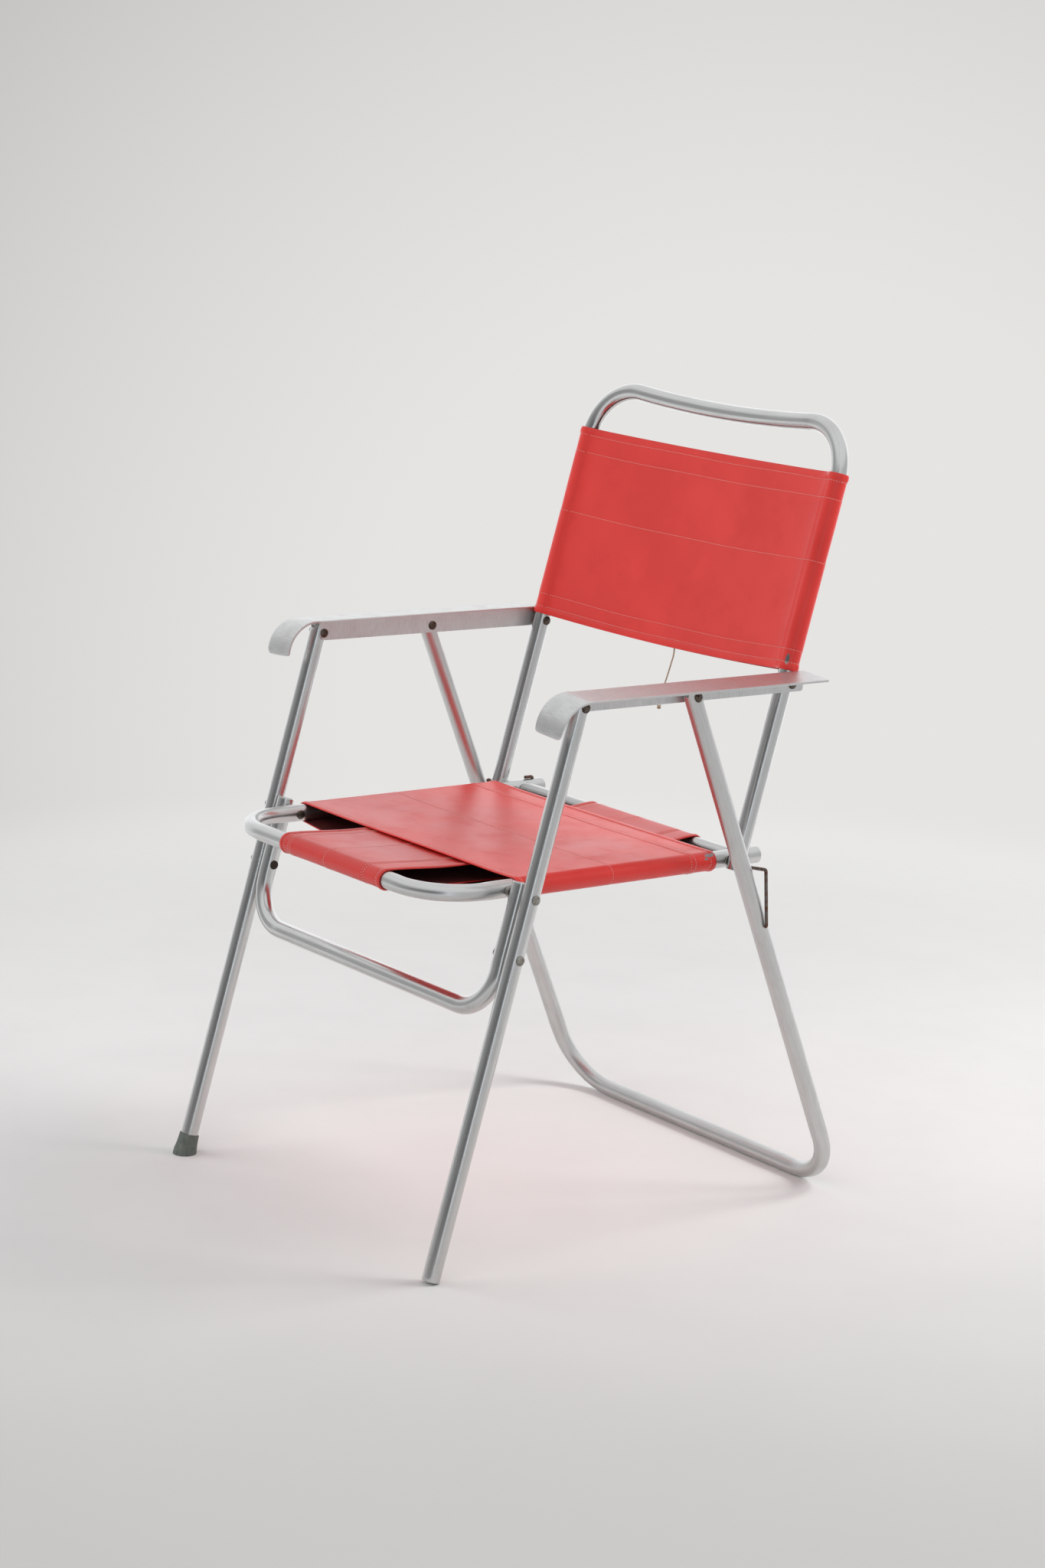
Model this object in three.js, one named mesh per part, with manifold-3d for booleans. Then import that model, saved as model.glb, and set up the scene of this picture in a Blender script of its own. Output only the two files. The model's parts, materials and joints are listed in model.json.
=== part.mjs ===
// A folding garden armchair: bent aluminium tube frames, vinyl sleeves for the seat and
// the back, flat armrests that curl down in front, and spring wires that lock the rear legs.
//
// Units are millimetres. +Z is up, the chair faces -Y, and +X is the sitter's left.
// The origin is on the floor, under the middle of the chair.

import * as THREE from "three";
import { mergeVertices } from "three/addons/utils/BufferGeometryUtils.js";
import Module from "manifold-3d";

const wasm = await Module();
wasm.setup();

const at = (x, y, z) => new THREE.Vector3(x, y, z);

// ---- driving dimensions ---------------------------------------------------------------

const tubeRadius = 10;
const tubeBore = 8.8;
const gap = 0.3; // what touching pieces keep between them
const overcut = 5; // how far a cutting shape runs past what it cuts

// Side planes of the frames, as distances of their tube centres from the middle.
const legX = 244.5; // front legs and rear legs
const stretcherX = legX - 2 * tubeRadius - gap;
const backX = 220.1; // uprights of the back
const seatX = 198.2; // side rails of the seat

// Armrest pivots, front to rear, and the seat pivots below them.
const armPivotZ = 620;
const armFrontY = -136;
const armMidY = 23.5;
const armRearY = 183;
const leanSlope = 0.26; // front legs and uprights lean back by this much per unit of height
const lean = Math.atan(leanSlope);
const seatZ = 415;
const seatPivotDrop = (armPivotZ - seatZ) / Math.cos(lean);
const seatFrontPivotY = armFrontY - leanSlope * (armPivotZ - seatZ);
const seatRearPivotY = armRearY - leanSlope * (armPivotZ - seatZ);

// Seat frame.
const seatFrontY = -281;
const seatRearY = 179;
const seatCornerRadius = 65;
const crossbarY = 147;
const crossbarRadius = 9;
const crossbarBore = 7.8;
const crossbarEndX = seatX - 3;

// Front legs and their stretcher.
const stretcherTop = 12.8; // above the seat pivot
const stretcherBarDrop = 135.5; // below the seat pivot, along the leg
const stretcherRivetDrop = 67;
const stretcherCornerRadius = 52;

// Rear legs.
const rearBarY = 301.4;
const rearLean = Math.atan((rearBarY - armMidY) / (armPivotZ - tubeRadius));
const rearLegLength = (armPivotZ - tubeRadius) / Math.cos(rearLean);
const rearCornerRadius = 70;

// Back frame, measured up the uprights from the armrest pivot.
const backTop = 303;
const backBottom = -(seatPivotDrop + 9);
const backCornerRadius = 70;
const topBarDip = 12;
const topBarBow = 10;

// Armrests: a flat top, a flange on its inner edge, and a curl in front.
const armInnerX = 232;
const armWidth = 45.8;
const armTopZ = 635; // at the inner edge
const armFall = 4; // degrees, the plate falls outward
const armThickness = 2.5;
const flangeThickness = 2.2;
const flangeBottomZ = 611.5;
const armRearEndY = 199.5;
const curlStartY = -146;
const curlRadius = 40;
const curlCornerRadius = 8;
const flangeFrontY = -142;
const flangeCornerRadius = 9;

// Pivots and rivets.
const rivetRadius = 2.6;
const rivetHole = 3.1;
const looseHole = 3.4;
const rivetHeadRadius = 5.4;
const rivetHeadHeight = 2.2;
const washerRadius = 7;
const spacerRadius = 6.5;
const tubeEndRound = tubeRadius + 0.4; // radius of a tube end rounded about its pivot

// Vinyl.
const vinyl = 1.2;
const sleeveInner = tubeRadius + gap;
const seatSlingFrontY = -178;
const seatSlingRearY = 109;
const seatTopSag = 1.2;
const seatBottomSag = 12;
const strapLeftX = 112; // at the front bar
const strapRightX = -80;
const strapSkew = 0.04; // sideways drift towards the rear
const strapDip = 3.8; // the strap's top, under the seat's, lies this much lower than over its bars
const strapLead = 2; // the dip starts inside the seat's rear edge
const strapTail = 8; // and ends in front of its front edge
const strapBottomSag = 3;
const backSlingBottom = 10.8; // up the uprights from the armrest pivot
const backSlingTop = 243;
const backSlingSkew = 3.2; // the lower hem sits this much higher on the left and lower on the right
const backSag = 16;
const backDroopBottom = 4.7;
const backDroopTop = 1;

// Lock wires.
const wireRadius = 2;
const wireHole = 2.7;
const wireY = 165;
const wireBend = 2.4;
const wireTipX = legX + tubeRadius + gap;
const wireLegX = wireTipX + wireBend + gap;
const wireTipZ = 346;
const wireHook = 13; // length bent forward over the rail
const wireBelow = 13; // how far under the rail's middle the wire turns outward
const wireStep = at(24, -12, 5); // the first leg of the step outward, behind the upright
const wireClimb = at(0, -24, 12); // where the step ends beside the rear leg, from the turn

// Rubber foot.
const capHeight = 24;
const capSole = 3;
const capTopRadius = 11.6;
const capBottomRadius = 13.8;
const capLip = 4; // height of the straight band round the sole

// Twine, hanging from inside the lower hem of the back, near the middle.
const twineRoute = [
  at(17.8, 193.4, 627),
  at(17, 194.2, 621),
  at(14.1, 196, 613.5),
  at(9.8, 197.5, 605),
  at(2.6, 199, 588),
  at(-4.8, 200, 570),
  at(-9.9, 200, 551.5),
];
const twineRadius = 1.1;
const knotRadius = 3.2;

// How finely round shapes are cut.
const tubeSides = 16;
const bendSteps = 8;
const slingSteps = 8;
const rollSegments = 5;
const curlSegments = 6;
const cornerSegments = 3;
const rivetSides = 12;
const wireSides = 8;
const domeSteps = 3;
const ringSides = 20;
const noseSides = 24;
const capSides = 24;

// ---- materials ------------------------------------------------------------------------

const aluminium = new THREE.MeshStandardMaterial({ color: "#b9babb", roughness: 0.38, metalness: 1 });
const steel = new THREE.MeshStandardMaterial({ color: "#6b6258", roughness: 0.5, metalness: 1 });
const redVinyl = new THREE.MeshStandardMaterial({ color: "#c22f2b", roughness: 0.42, metalness: 0 });
const rubber = new THREE.MeshStandardMaterial({ color: "#5b5f59", roughness: 0.8, metalness: 0 });
const twine = new THREE.MeshStandardMaterial({ color: "#b9ad94", roughness: 0.9, metalness: 0 });

// ---- shape helpers --------------------------------------------------------------------

function solid(geometry) {
  const bare = geometry.clone();
  bare.deleteAttribute("normal");
  bare.deleteAttribute("uv");
  const merged = mergeVertices(bare, 1e-4);
  const mesh = new wasm.Mesh({
    numProp: 3,
    vertProperties: new Float32Array(merged.attributes.position.array),
    triVerts: new Uint32Array(merged.index.array),
  });
  return new wasm.Manifold(mesh);
}

function geometryOf(manifold) {
  const mesh = manifold.getMesh();
  const geometry = new THREE.BufferGeometry();
  geometry.setAttribute("position", new THREE.BufferAttribute(new Float32Array(mesh.vertProperties), 3));
  geometry.setIndex(new THREE.BufferAttribute(new Uint32Array(mesh.triVerts), 1));
  geometry.computeVertexNormals();
  return geometry;
}

function piece(name, manifold, material) {
  const mesh = new THREE.Mesh(geometryOf(manifold), material);
  mesh.name = name;
  return mesh;
}

// A path through exact stations, so that straight stretches cost one step.
class Route extends THREE.Curve {
  constructor(stations) {
    super();
    this.stations = stations;
  }

  getPoint(t, target = new THREE.Vector3()) {
    const last = this.stations.length - 1;
    const at = Math.min(Math.max(t, 0), 1) * last;
    const i = Math.min(Math.floor(at + 1e-9), last - 1);
    return target.lerpVectors(this.stations[i], this.stations[i + 1], at - i);
  }

  getPointAt(u, target) {
    return this.getPoint(u, target);
  }

  getTangentAt(u, target = new THREE.Vector3()) {
    const last = this.stations.length - 1;
    const i = Math.round(u * last);
    const before = this.stations[Math.max(i - 1, 0)];
    const after = this.stations[Math.min(i + 1, last)];
    return target.subVectors(after, before).normalize();
  }
}

// Stations along straight lines between corners, with an arc of the given radius at each.
function bentPath(corners, radius, arcSteps) {
  const stations = [corners[0].clone()];
  for (let i = 1; i < corners.length - 1; i += 1) {
    const inward = new THREE.Vector3().subVectors(corners[i - 1], corners[i]).normalize();
    const onward = new THREE.Vector3().subVectors(corners[i + 1], corners[i]).normalize();
    const half = inward.angleTo(onward) / 2;
    const reach = radius / Math.tan(half);
    const middle = inward.clone().add(onward).normalize();
    const centre = corners[i].clone().addScaledVector(middle, radius / Math.sin(half));
    const start = corners[i].clone().addScaledVector(inward, reach).sub(centre);
    const end = corners[i].clone().addScaledVector(onward, reach).sub(centre);
    const sweep = start.angleTo(end);
    for (let k = 0; k <= arcSteps; k += 1) {
      const t = k / arcSteps;
      const from = start.clone().multiplyScalar(Math.sin((1 - t) * sweep) / Math.sin(sweep));
      stations.push(from.addScaledVector(end, Math.sin(t * sweep) / Math.sin(sweep)).add(centre));
    }
  }
  stations.push(corners[corners.length - 1].clone());
  return stations;
}

function polygon(path, radius, sides) {
  path.moveTo(radius, 0);
  for (let k = 1; k < sides; k += 1) {
    const a = (k / sides) * 2 * Math.PI;
    path.lineTo(radius * Math.cos(a), radius * Math.sin(a));
  }
  path.closePath();
  return path;
}

// A round bar along the stations, hollow when bore is above zero.
function tube(stations, outer, bore, sides = tubeSides) {
  const section = polygon(new THREE.Shape(), outer, sides);
  if (bore > 0) section.holes.push(polygon(new THREE.Path(), bore, sides / 2));
  const route = new Route(stations);
  const settings = { extrudePath: route, steps: stations.length - 1, bevelEnabled: false };
  return solid(new THREE.ExtrudeGeometry(section, settings));
}

// A plain cylinder along X, between two X values.
function barX(x1, x2, y, z, radius, sides = tubeSides) {
  const geometry = new THREE.CylinderGeometry(radius, radius, Math.abs(x2 - x1), sides);
  geometry.rotateZ(Math.PI / 2);
  geometry.translate((x1 + x2) / 2, y, z);
  return solid(geometry);
}

function box(x1, x2, y1, y2, z1, z2) {
  const geometry = new THREE.BoxGeometry(x2 - x1, y2 - y1, z2 - z1);
  geometry.translate((x1 + x2) / 2, (y1 + y2) / 2, (z1 + z2) / 2);
  return solid(geometry);
}

function extrusion(depth, curveSegments) {
  return { depth, steps: 1, curveSegments, bevelEnabled: false };
}

// Rounds the upper end of a leg about its pivot on the X axis.
function roundedTop(leg, x) {
  const reach = 2 * tubeRadius;
  const beyond = box(x - reach, x + reach, -reach, reach, 0, reach);
  const nose = barX(x - reach - overcut, x + reach + overcut, 0, 0, tubeEndRound, noseSides);
  return leg.subtract(beyond.subtract(nose));
}

// Drills a tube across, along X. x is the tube's middle.
function drilled(tubeSolid, x, y, z, holeRadius) {
  const reach = tubeRadius + overcut;
  return tubeSolid.subtract(barX(x - reach, x + reach, y, z, holeRadius));
}

// A washer or spacer around the X axis.
function ringX(x1, x2, outer, bore) {
  const hole = barX(x1 - overcut, x2 + overcut, 0, 0, bore);
  return barX(x1, x2, 0, 0, outer, ringSides).subtract(hole);
}

// A rivet along X with a domed head outside each of two faces. inner is less than outer.
function rivet(inner, outer) {
  const rightSeat = inner - gap;
  const leftSeat = outer + gap;
  const dome = (seat, height) => {
    const points = [];
    for (let k = 0; k <= domeSteps; k += 1) {
      const a = (k / domeSteps) * (Math.PI / 2);
      points.push(new THREE.Vector2(rivetHeadRadius * Math.sin(a), seat + height * Math.cos(a)));
    }
    return points;
  };
  const profile = [
    ...dome(rightSeat, -rivetHeadHeight),
    new THREE.Vector2(rivetRadius, rightSeat),
    new THREE.Vector2(rivetRadius, leftSeat),
    ...dome(leftSeat, rivetHeadHeight).reverse(),
  ];
  const geometry = new THREE.LatheGeometry(profile, rivetSides);
  geometry.rotateZ(-Math.PI / 2);
  return solid(geometry);
}

// The same piece on the other side of the chair.
function mirrored(manifold) {
  return manifold.mirror([1, 0, 0]);
}

function addPair(parent, name, leftSolid, material, y, z) {
  for (const side of ["left", "right"]) {
    const mesh = piece(`${name}_${side}`, side === "left" ? leftSolid : mirrored(leftSolid), material);
    mesh.position.set(0, y, z);
    parent.add(mesh);
  }
}

// A ring of vinyl round two parallel tubes, seen along them. Half the span is measured to the
// tube centres. The top and bottom faces sag by the given amounts in the middle.
function sleeveRing(half, inner, topSag, bottomSag) {
  const steps = slingSteps;
  const outline = (radius, path) => {
    path.absarc(half, 0, radius, -Math.PI / 2, Math.PI / 2);
    for (let k = 1; k < steps; k += 1) {
      const t = 1 - (2 * k) / steps;
      path.lineTo(half * t, radius - topSag * (1 - t * t));
    }
    path.absarc(-half, 0, radius, Math.PI / 2, (3 * Math.PI) / 2);
    for (let k = 1; k < steps; k += 1) {
      const t = -1 + (2 * k) / steps;
      path.lineTo(half * t, -radius - bottomSag * (1 - t * t));
    }
    path.closePath();
    return path;
  };
  const ring = outline(inner + vinyl, new THREE.Shape());
  ring.holes.push(outline(inner, new THREE.Path()));
  return ring;
}

// ---- back: an inverted U of tube, and its sleeve ---------------------------------------

function backFrame() {
  const stations = bentPath([
    at(-backX, 0, backBottom),
    at(-backX, 0, backTop),
    at(backX, 0, backTop),
    at(backX, 0, backBottom),
  ], backCornerRadius, bendSteps);
  const straight = backX - backCornerRadius;
  const barSteps = 8;
  const firstOfBar = stations.findIndex((p) => p.x > -straight + 1);
  const bar = [];
  for (let k = 1; k < barSteps; k += 1) {
    bar.push(at(-straight + (2 * straight * k) / barSteps, 0, backTop));
  }
  stations.splice(firstOfBar, 0, ...bar);
  for (const p of stations) {
    const middle = 1 - (p.x / backX) ** 2;
    p.z -= topBarDip * middle;
    p.y += topBarBow * middle;
  }
  let frame = tube(stations, tubeRadius, tubeBore);
  for (const z of [0, -seatPivotDrop]) {
    frame = drilled(frame, backX, 0, z, rivetHole);
    frame = drilled(frame, -backX, 0, z, rivetHole);
  }
  return frame;
}

function backSling() {
  const ring = sleeveRing(backX, sleeveInner, -backSag, -backSag);
  const height = backSlingTop - backSlingBottom;
  const geometry = new THREE.ExtrudeGeometry(ring, extrusion(height, rollSegments));
  // The outline lies in XY: turn its +Y to the rear, and its thickness up the uprights.
  const place = geometry.attributes.position;
  for (let i = 0; i < place.count; i += 1) {
    const x = place.getX(i);
    const rearward = place.getY(i);
    const up = place.getZ(i);
    const middle = Math.max(0, 1 - (x / backX) ** 2);
    const atTop = up > height / 2;
    const droop = (atTop ? backDroopTop : backDroopBottom) * middle;
    const skew = atTop ? 0 : backSlingSkew * (x / backX);
    place.setXYZ(i, x, rearward, backSlingBottom + up + skew - droop);
  }
  return solid(geometry);
}

// ---- seat: a U of tube, a crossbar, a wide sleeve over a narrow one ---------------------

function seatFrame() {
  const stations = bentPath([
    at(-seatX, seatRearY, seatZ),
    at(-seatX, seatFrontY, seatZ),
    at(seatX, seatFrontY, seatZ),
    at(seatX, seatRearY, seatZ),
  ], seatCornerRadius, bendSteps);
  let frame = tube(stations, tubeRadius, tubeBore);
  for (const s of [1, -1]) {
    for (const y of [seatFrontPivotY, seatRearPivotY]) {
      frame = drilled(frame, s * seatX, y, seatZ, looseHole);
    }
    const boreLength = 2 * (tubeRadius + overcut);
    const wireBore = new THREE.CylinderGeometry(wireHole, wireHole, boreLength, wireSides);
    wireBore.rotateX(Math.PI / 2);
    wireBore.translate(s * seatX, wireY, seatZ);
    frame = frame.subtract(solid(wireBore));
  }
  return frame;
}

function seatCrossbar() {
  const ends = [at(-crossbarEndX, crossbarY, seatZ), at(crossbarEndX, crossbarY, seatZ)];
  let bar = tube(ends, crossbarRadius, crossbarBore);
  for (const s of [1, -1]) {
    const railLength = 2 * (crossbarRadius + overcut);
    const rail = new THREE.CylinderGeometry(sleeveInner, sleeveInner, railLength, 2 * tubeSides);
    rail.translate(s * seatX, crossbarY, seatZ);
    bar = bar.subtract(solid(rail));
  }
  return bar;
}

function seatSling() {
  const ring = sleeveRing(seatX, sleeveInner, seatTopSag, seatBottomSag);
  const depth = seatSlingRearY - seatSlingFrontY;
  const geometry = new THREE.ExtrudeGeometry(ring, extrusion(depth, rollSegments));
  geometry.rotateX(Math.PI / 2);
  geometry.translate(0, seatSlingRearY, seatZ);
  return solid(geometry);
}

function seatStrap() {
  const rearInner = crossbarRadius + gap;
  const outline = (extra, path) => {
    const front = sleeveInner + extra;
    const rear = rearInner + extra;
    path.absarc(crossbarY, 0, rear, -Math.PI / 2, Math.PI / 2);
    path.lineTo(seatSlingRearY - strapLead, sleeveInner - strapDip + extra);
    path.lineTo(seatSlingFrontY - strapTail, sleeveInner - strapDip + extra);
    path.absarc(seatFrontY, 0, front, Math.PI / 2, (3 * Math.PI) / 2);
    path.lineTo((seatFrontY + crossbarY) / 2, -(front + rear) / 2 - strapBottomSag);
    path.closePath();
    return path;
  };
  const ring = outline(vinyl, new THREE.Shape());
  ring.holes.push(outline(0, new THREE.Path()));
  const width = strapLeftX - strapRightX;
  const geometry = new THREE.ExtrudeGeometry(ring, extrusion(width, rollSegments));
  // The outline's X runs to the rear and its Y runs up: stand it across the chair.
  const place = geometry.attributes.position;
  for (let i = 0; i < place.count; i += 1) {
    const y = place.getX(i);
    const up = place.getY(i);
    const x = strapRightX + place.getZ(i) + strapSkew * (y - seatFrontY);
    place.setXYZ(i, x, y, seatZ + up);
  }
  return solid(geometry);
}

// A spring wire through a hole in the rail end. It steps out behind the rear leg and hangs
// outside it, and its tip rests over a hole in the leg.
function lockWire() {
  const overRail = seatZ + tubeRadius + wireRadius + gap;
  const rearLegY = armMidY + (armPivotZ - wireTipZ) * Math.tan(rearLean);
  const turn = at(seatX, wireY, seatZ - wireBelow);
  const corners = [
    at(seatX, wireY - wireHook, overRail),
    at(seatX, wireY, overRail),
    turn,
    turn.clone().add(wireStep),
    turn.clone().add(wireClimb).setX(wireLegX),
    at(wireLegX, rearLegY, wireTipZ),
    at(wireTipX, rearLegY, wireTipZ),
  ];
  return tube(bentPath(corners, wireBend, domeSteps), wireRadius, 0, wireSides);
}

// ---- front legs -------------------------------------------------------------------------

// Leg pieces are made with their armrest pivot at the origin and the leg running down -Z.
function frontLeg(length) {
  let leg = tube([at(legX, 0, -length), at(legX, 0, tubeEndRound)], tubeRadius, tubeBore);
  leg = roundedTop(leg, legX);
  for (const z of [0, -seatPivotDrop, -seatPivotDrop - stretcherRivetDrop]) {
    leg = drilled(leg, legX, 0, z, looseHole);
  }
  return leg;
}

function frontStretcher() {
  const bar = -seatPivotDrop - stretcherBarDrop;
  const top = -seatPivotDrop + stretcherTop;
  const corners = [
    at(-stretcherX, 0, top),
    at(-stretcherX, 0, bar),
    at(stretcherX, 0, bar),
    at(stretcherX, 0, top),
  ];
  let stretcher = tube(bentPath(corners, stretcherCornerRadius, bendSteps), tubeRadius, tubeBore);
  for (const z of [-seatPivotDrop, -seatPivotDrop - stretcherRivetDrop]) {
    stretcher = drilled(stretcher, stretcherX, 0, z, looseHole);
    stretcher = drilled(stretcher, -stretcherX, 0, z, looseHole);
  }
  return stretcher;
}

// The rubber foot, cut level where it has worn on the floor.
function footCap(floorDrop) {
  const belowFloor = 6;
  const profile = [
    [0, -belowFloor],
    [capBottomRadius, -belowFloor],
    [capBottomRadius, capLip],
    [capTopRadius, capHeight],
    [sleeveInner, capHeight],
    [sleeveInner, capSole],
    [0, capSole],
  ].map(([r, up]) => new THREE.Vector2(r, up - floorDrop));
  const geometry = new THREE.LatheGeometry(profile, capSides);
  geometry.rotateX(Math.PI / 2);
  const cap = solid(geometry);
  const slab = 8 * tubeRadius;
  const floor = new THREE.BoxGeometry(slab, slab, slab);
  floor.translate(0, 0, -slab / 2);
  floor.rotateX(lean);
  floor.translate(0, 0, -floorDrop);
  return cap.subtract(solid(floor));
}

// ---- rear legs --------------------------------------------------------------------------

function rearLegFrame() {
  const corners = [
    at(-legX, 0, tubeEndRound),
    at(-legX, 0, -rearLegLength),
    at(legX, 0, -rearLegLength),
    at(legX, 0, tubeEndRound),
  ];
  let frame = tube(bentPath(corners, rearCornerRadius, bendSteps), tubeRadius, tubeBore);
  const wireDrop = (armPivotZ - wireTipZ) / Math.cos(rearLean);
  const outside = legX + tubeRadius + overcut;
  for (const s of [1, -1]) {
    frame = roundedTop(frame, s * legX);
    frame = drilled(frame, s * legX, 0, 0, looseHole);
    frame = frame.subtract(barX(s * legX, s * outside, 0, -wireDrop, wireHole));
  }
  return frame;
}

// ---- armrests ---------------------------------------------------------------------------

// The left armrest, in the chair's own frame.
function armrest() {
  const curlZ = armTopZ - curlRadius;
  const side = new THREE.Shape();
  side.moveTo(armRearEndY, armTopZ);
  side.lineTo(armRearEndY, armTopZ - armThickness);
  side.lineTo(curlStartY, armTopZ - armThickness);
  side.absarc(curlStartY, curlZ, curlRadius - armThickness, Math.PI / 2, Math.PI, false);
  side.absarc(curlStartY, curlZ, curlRadius, Math.PI, Math.PI / 2, true);
  side.closePath();
  const flange = new THREE.Shape();
  const bend = flangeCornerRadius;
  flange.moveTo(armRearEndY, armTopZ - armThickness / 2);
  flange.lineTo(flangeFrontY, armTopZ - armThickness / 2);
  flange.lineTo(flangeFrontY, flangeBottomZ + bend);
  flange.absarc(flangeFrontY + bend, flangeBottomZ + bend, bend, Math.PI, 1.5 * Math.PI, false);
  flange.lineTo(armRearEndY, flangeBottomZ);
  flange.closePath();

  // The outlines have Y across and Z up: stand them up and give them their width along X.
  const alongX = (shape, width) => {
    const geometry = new THREE.ExtrudeGeometry(shape, extrusion(width, curlSegments));
    geometry.rotateY(Math.PI / 2);
    geometry.rotateX(Math.PI / 2);
    geometry.translate(armInnerX, 0, 0);
    return solid(geometry);
  };

  // Round the two lower corners of the curl.
  const face = new THREE.Shape();
  const outerX = armInnerX + armWidth;
  const r = curlCornerRadius;
  face.moveTo(armInnerX, armTopZ + overcut);
  face.lineTo(armInnerX, curlZ + r);
  face.absarc(armInnerX + r, curlZ + r, r, Math.PI, 1.5 * Math.PI, false);
  face.lineTo(outerX - r, curlZ);
  face.absarc(outerX - r, curlZ + r, r, 1.5 * Math.PI, 2 * Math.PI, false);
  face.lineTo(outerX, armTopZ + overcut);
  face.closePath();
  const maskFrontY = curlStartY - curlRadius - overcut;
  const maskRearY = armRearEndY + overcut;
  const mask = new THREE.ExtrudeGeometry(face, extrusion(maskRearY - maskFrontY, cornerSegments));
  mask.rotateX(Math.PI / 2);
  mask.translate(0, maskRearY, 0);
  let arm = alongX(side, armWidth).intersect(solid(mask));

  // Tip the plate outward about its inner top edge, and join the upright flange to it.
  arm = arm.translate([-armInnerX, 0, -armTopZ]).rotate([0, armFall, 0]);
  arm = arm.translate([armInnerX, 0, armTopZ]).trimByPlane([1, 0, 0], armInnerX);
  arm = arm.add(alongX(flange, flangeThickness));
  for (const y of [armFrontY, armMidY, armRearY]) {
    arm = arm.subtract(barX(armInnerX - overcut, armInnerX + overcut, y, armPivotZ, rivetHole));
  }
  return arm;
}

// ---- assembly ---------------------------------------------------------------------------

const group = new THREE.Group();

// Back, in a frame that leans with the uprights about the rear armrest pivot.
const back = new THREE.Group();
back.position.set(0, armRearY, armPivotZ);
back.rotation.x = -lean;
back.add(piece("back_frame", backFrame(), aluminium));
back.add(piece("back_sling", backSling(), redVinyl));
group.add(back);
group.add(piece("string", tube(twineRoute, twineRadius, 0, wireSides), twine));
const knotBall = new THREE.SphereGeometry(knotRadius, rivetSides, wireSides);
const knot = piece("string_knot", solid(knotBall), twine);
const twineEnd = twineRoute[twineRoute.length - 1];
knot.position.set(twineEnd.x, twineEnd.y, twineEnd.z - knotRadius - gap);
group.add(knot);

// Seat.
group.add(piece("seat_frame", seatFrame(), aluminium));
group.add(piece("seat_crossbar", seatCrossbar(), aluminium));
group.add(piece("seat_sling", seatSling(), redVinyl));
group.add(piece("seat_strap", seatStrap(), redVinyl));
addPair(group, "lock_wire", lockWire(), steel, 0, 0);

// Front legs, in a frame that leans with them about the front armrest pivot.
const front = new THREE.Group();
front.position.set(0, armFrontY, armPivotZ);
front.rotation.x = -lean;
const bareLegLength = (armPivotZ - tubeRadius * Math.sin(lean)) / Math.cos(lean);
const floorDrop = armPivotZ / Math.cos(lean);
const cappedLegLength = floorDrop - capSole - gap;
front.add(piece("front_leg_left", frontLeg(bareLegLength), aluminium));
front.add(piece("front_leg_right", mirrored(frontLeg(cappedLegLength)), aluminium));
front.add(piece("front_stretcher", frontStretcher(), aluminium));
const cap = piece("foot_cap_right", footCap(floorDrop), rubber);
cap.position.x = -legX;
front.add(cap);
group.add(front);

// Rear legs, in a frame that leans about the middle armrest pivot.
const rear = new THREE.Group();
rear.position.set(0, armMidY, armPivotZ);
rear.rotation.x = rearLean;
rear.add(piece("rear_leg_frame", rearLegFrame(), aluminium));
group.add(rear);

// Armrests.
addPair(group, "armrest", armrest(), aluminium, 0, 0);

// Rivets, washers and spacers.
const legOuter = legX + tubeRadius;
const flangeOuter = armInnerX + flangeThickness;
const backInner = backX - tubeRadius;
const backOuter = backX + tubeRadius;
const seatInner = seatX - tubeRadius;
const seatOuter = seatX + tubeRadius;
const stretcherInner = stretcherX - tubeRadius;
const stretcherRivetY = seatFrontPivotY - stretcherRivetDrop * Math.sin(lean);
const stretcherRivetZ = seatZ - stretcherRivetDrop * Math.cos(lean);
const legRivet = rivet(armInnerX, legOuter);
const armWasher = ringX(backOuter + gap, armInnerX - gap, washerRadius, rivetHole);
const seatSpacer = ringX(seatOuter + gap, stretcherInner - gap, spacerRadius, rivetHole);
const seatWasher = ringX(seatOuter + gap, backInner - gap, washerRadius, rivetHole);
addPair(group, "arm_front_rivet", legRivet, steel, armFrontY, armPivotZ);
addPair(group, "arm_mid_rivet", legRivet, steel, armMidY, armPivotZ);
addPair(group, "arm_rear_rivet", rivet(backInner, flangeOuter), steel, armRearY, armPivotZ);
addPair(group, "arm_rear_washer", armWasher, steel, armRearY, armPivotZ);
addPair(group, "seat_front_bolt", rivet(seatInner, legOuter), steel, seatFrontPivotY, seatZ);
addPair(group, "seat_front_spacer", seatSpacer, steel, seatFrontPivotY, seatZ);
addPair(group, "stretcher_rivet", rivet(stretcherInner, legOuter), steel, stretcherRivetY, stretcherRivetZ);
addPair(group, "seat_rear_rivet", rivet(seatInner, backOuter), steel, seatRearPivotY, seatZ);
addPair(group, "seat_rear_washer", seatWasher, steel, seatRearPivotY, seatZ);

export default group;
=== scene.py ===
"""The looks of a folding garden armchair: satin aluminium tubes, red vinyl sleeves, rivets and twine.

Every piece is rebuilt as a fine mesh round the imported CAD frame, in metres, +Z up. The chair faces -Y and
+X is the sitter's left.
"""

import json
import math

import bmesh
import bpy
import numpy as np
from mathutils import Matrix, Vector, noise


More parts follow.
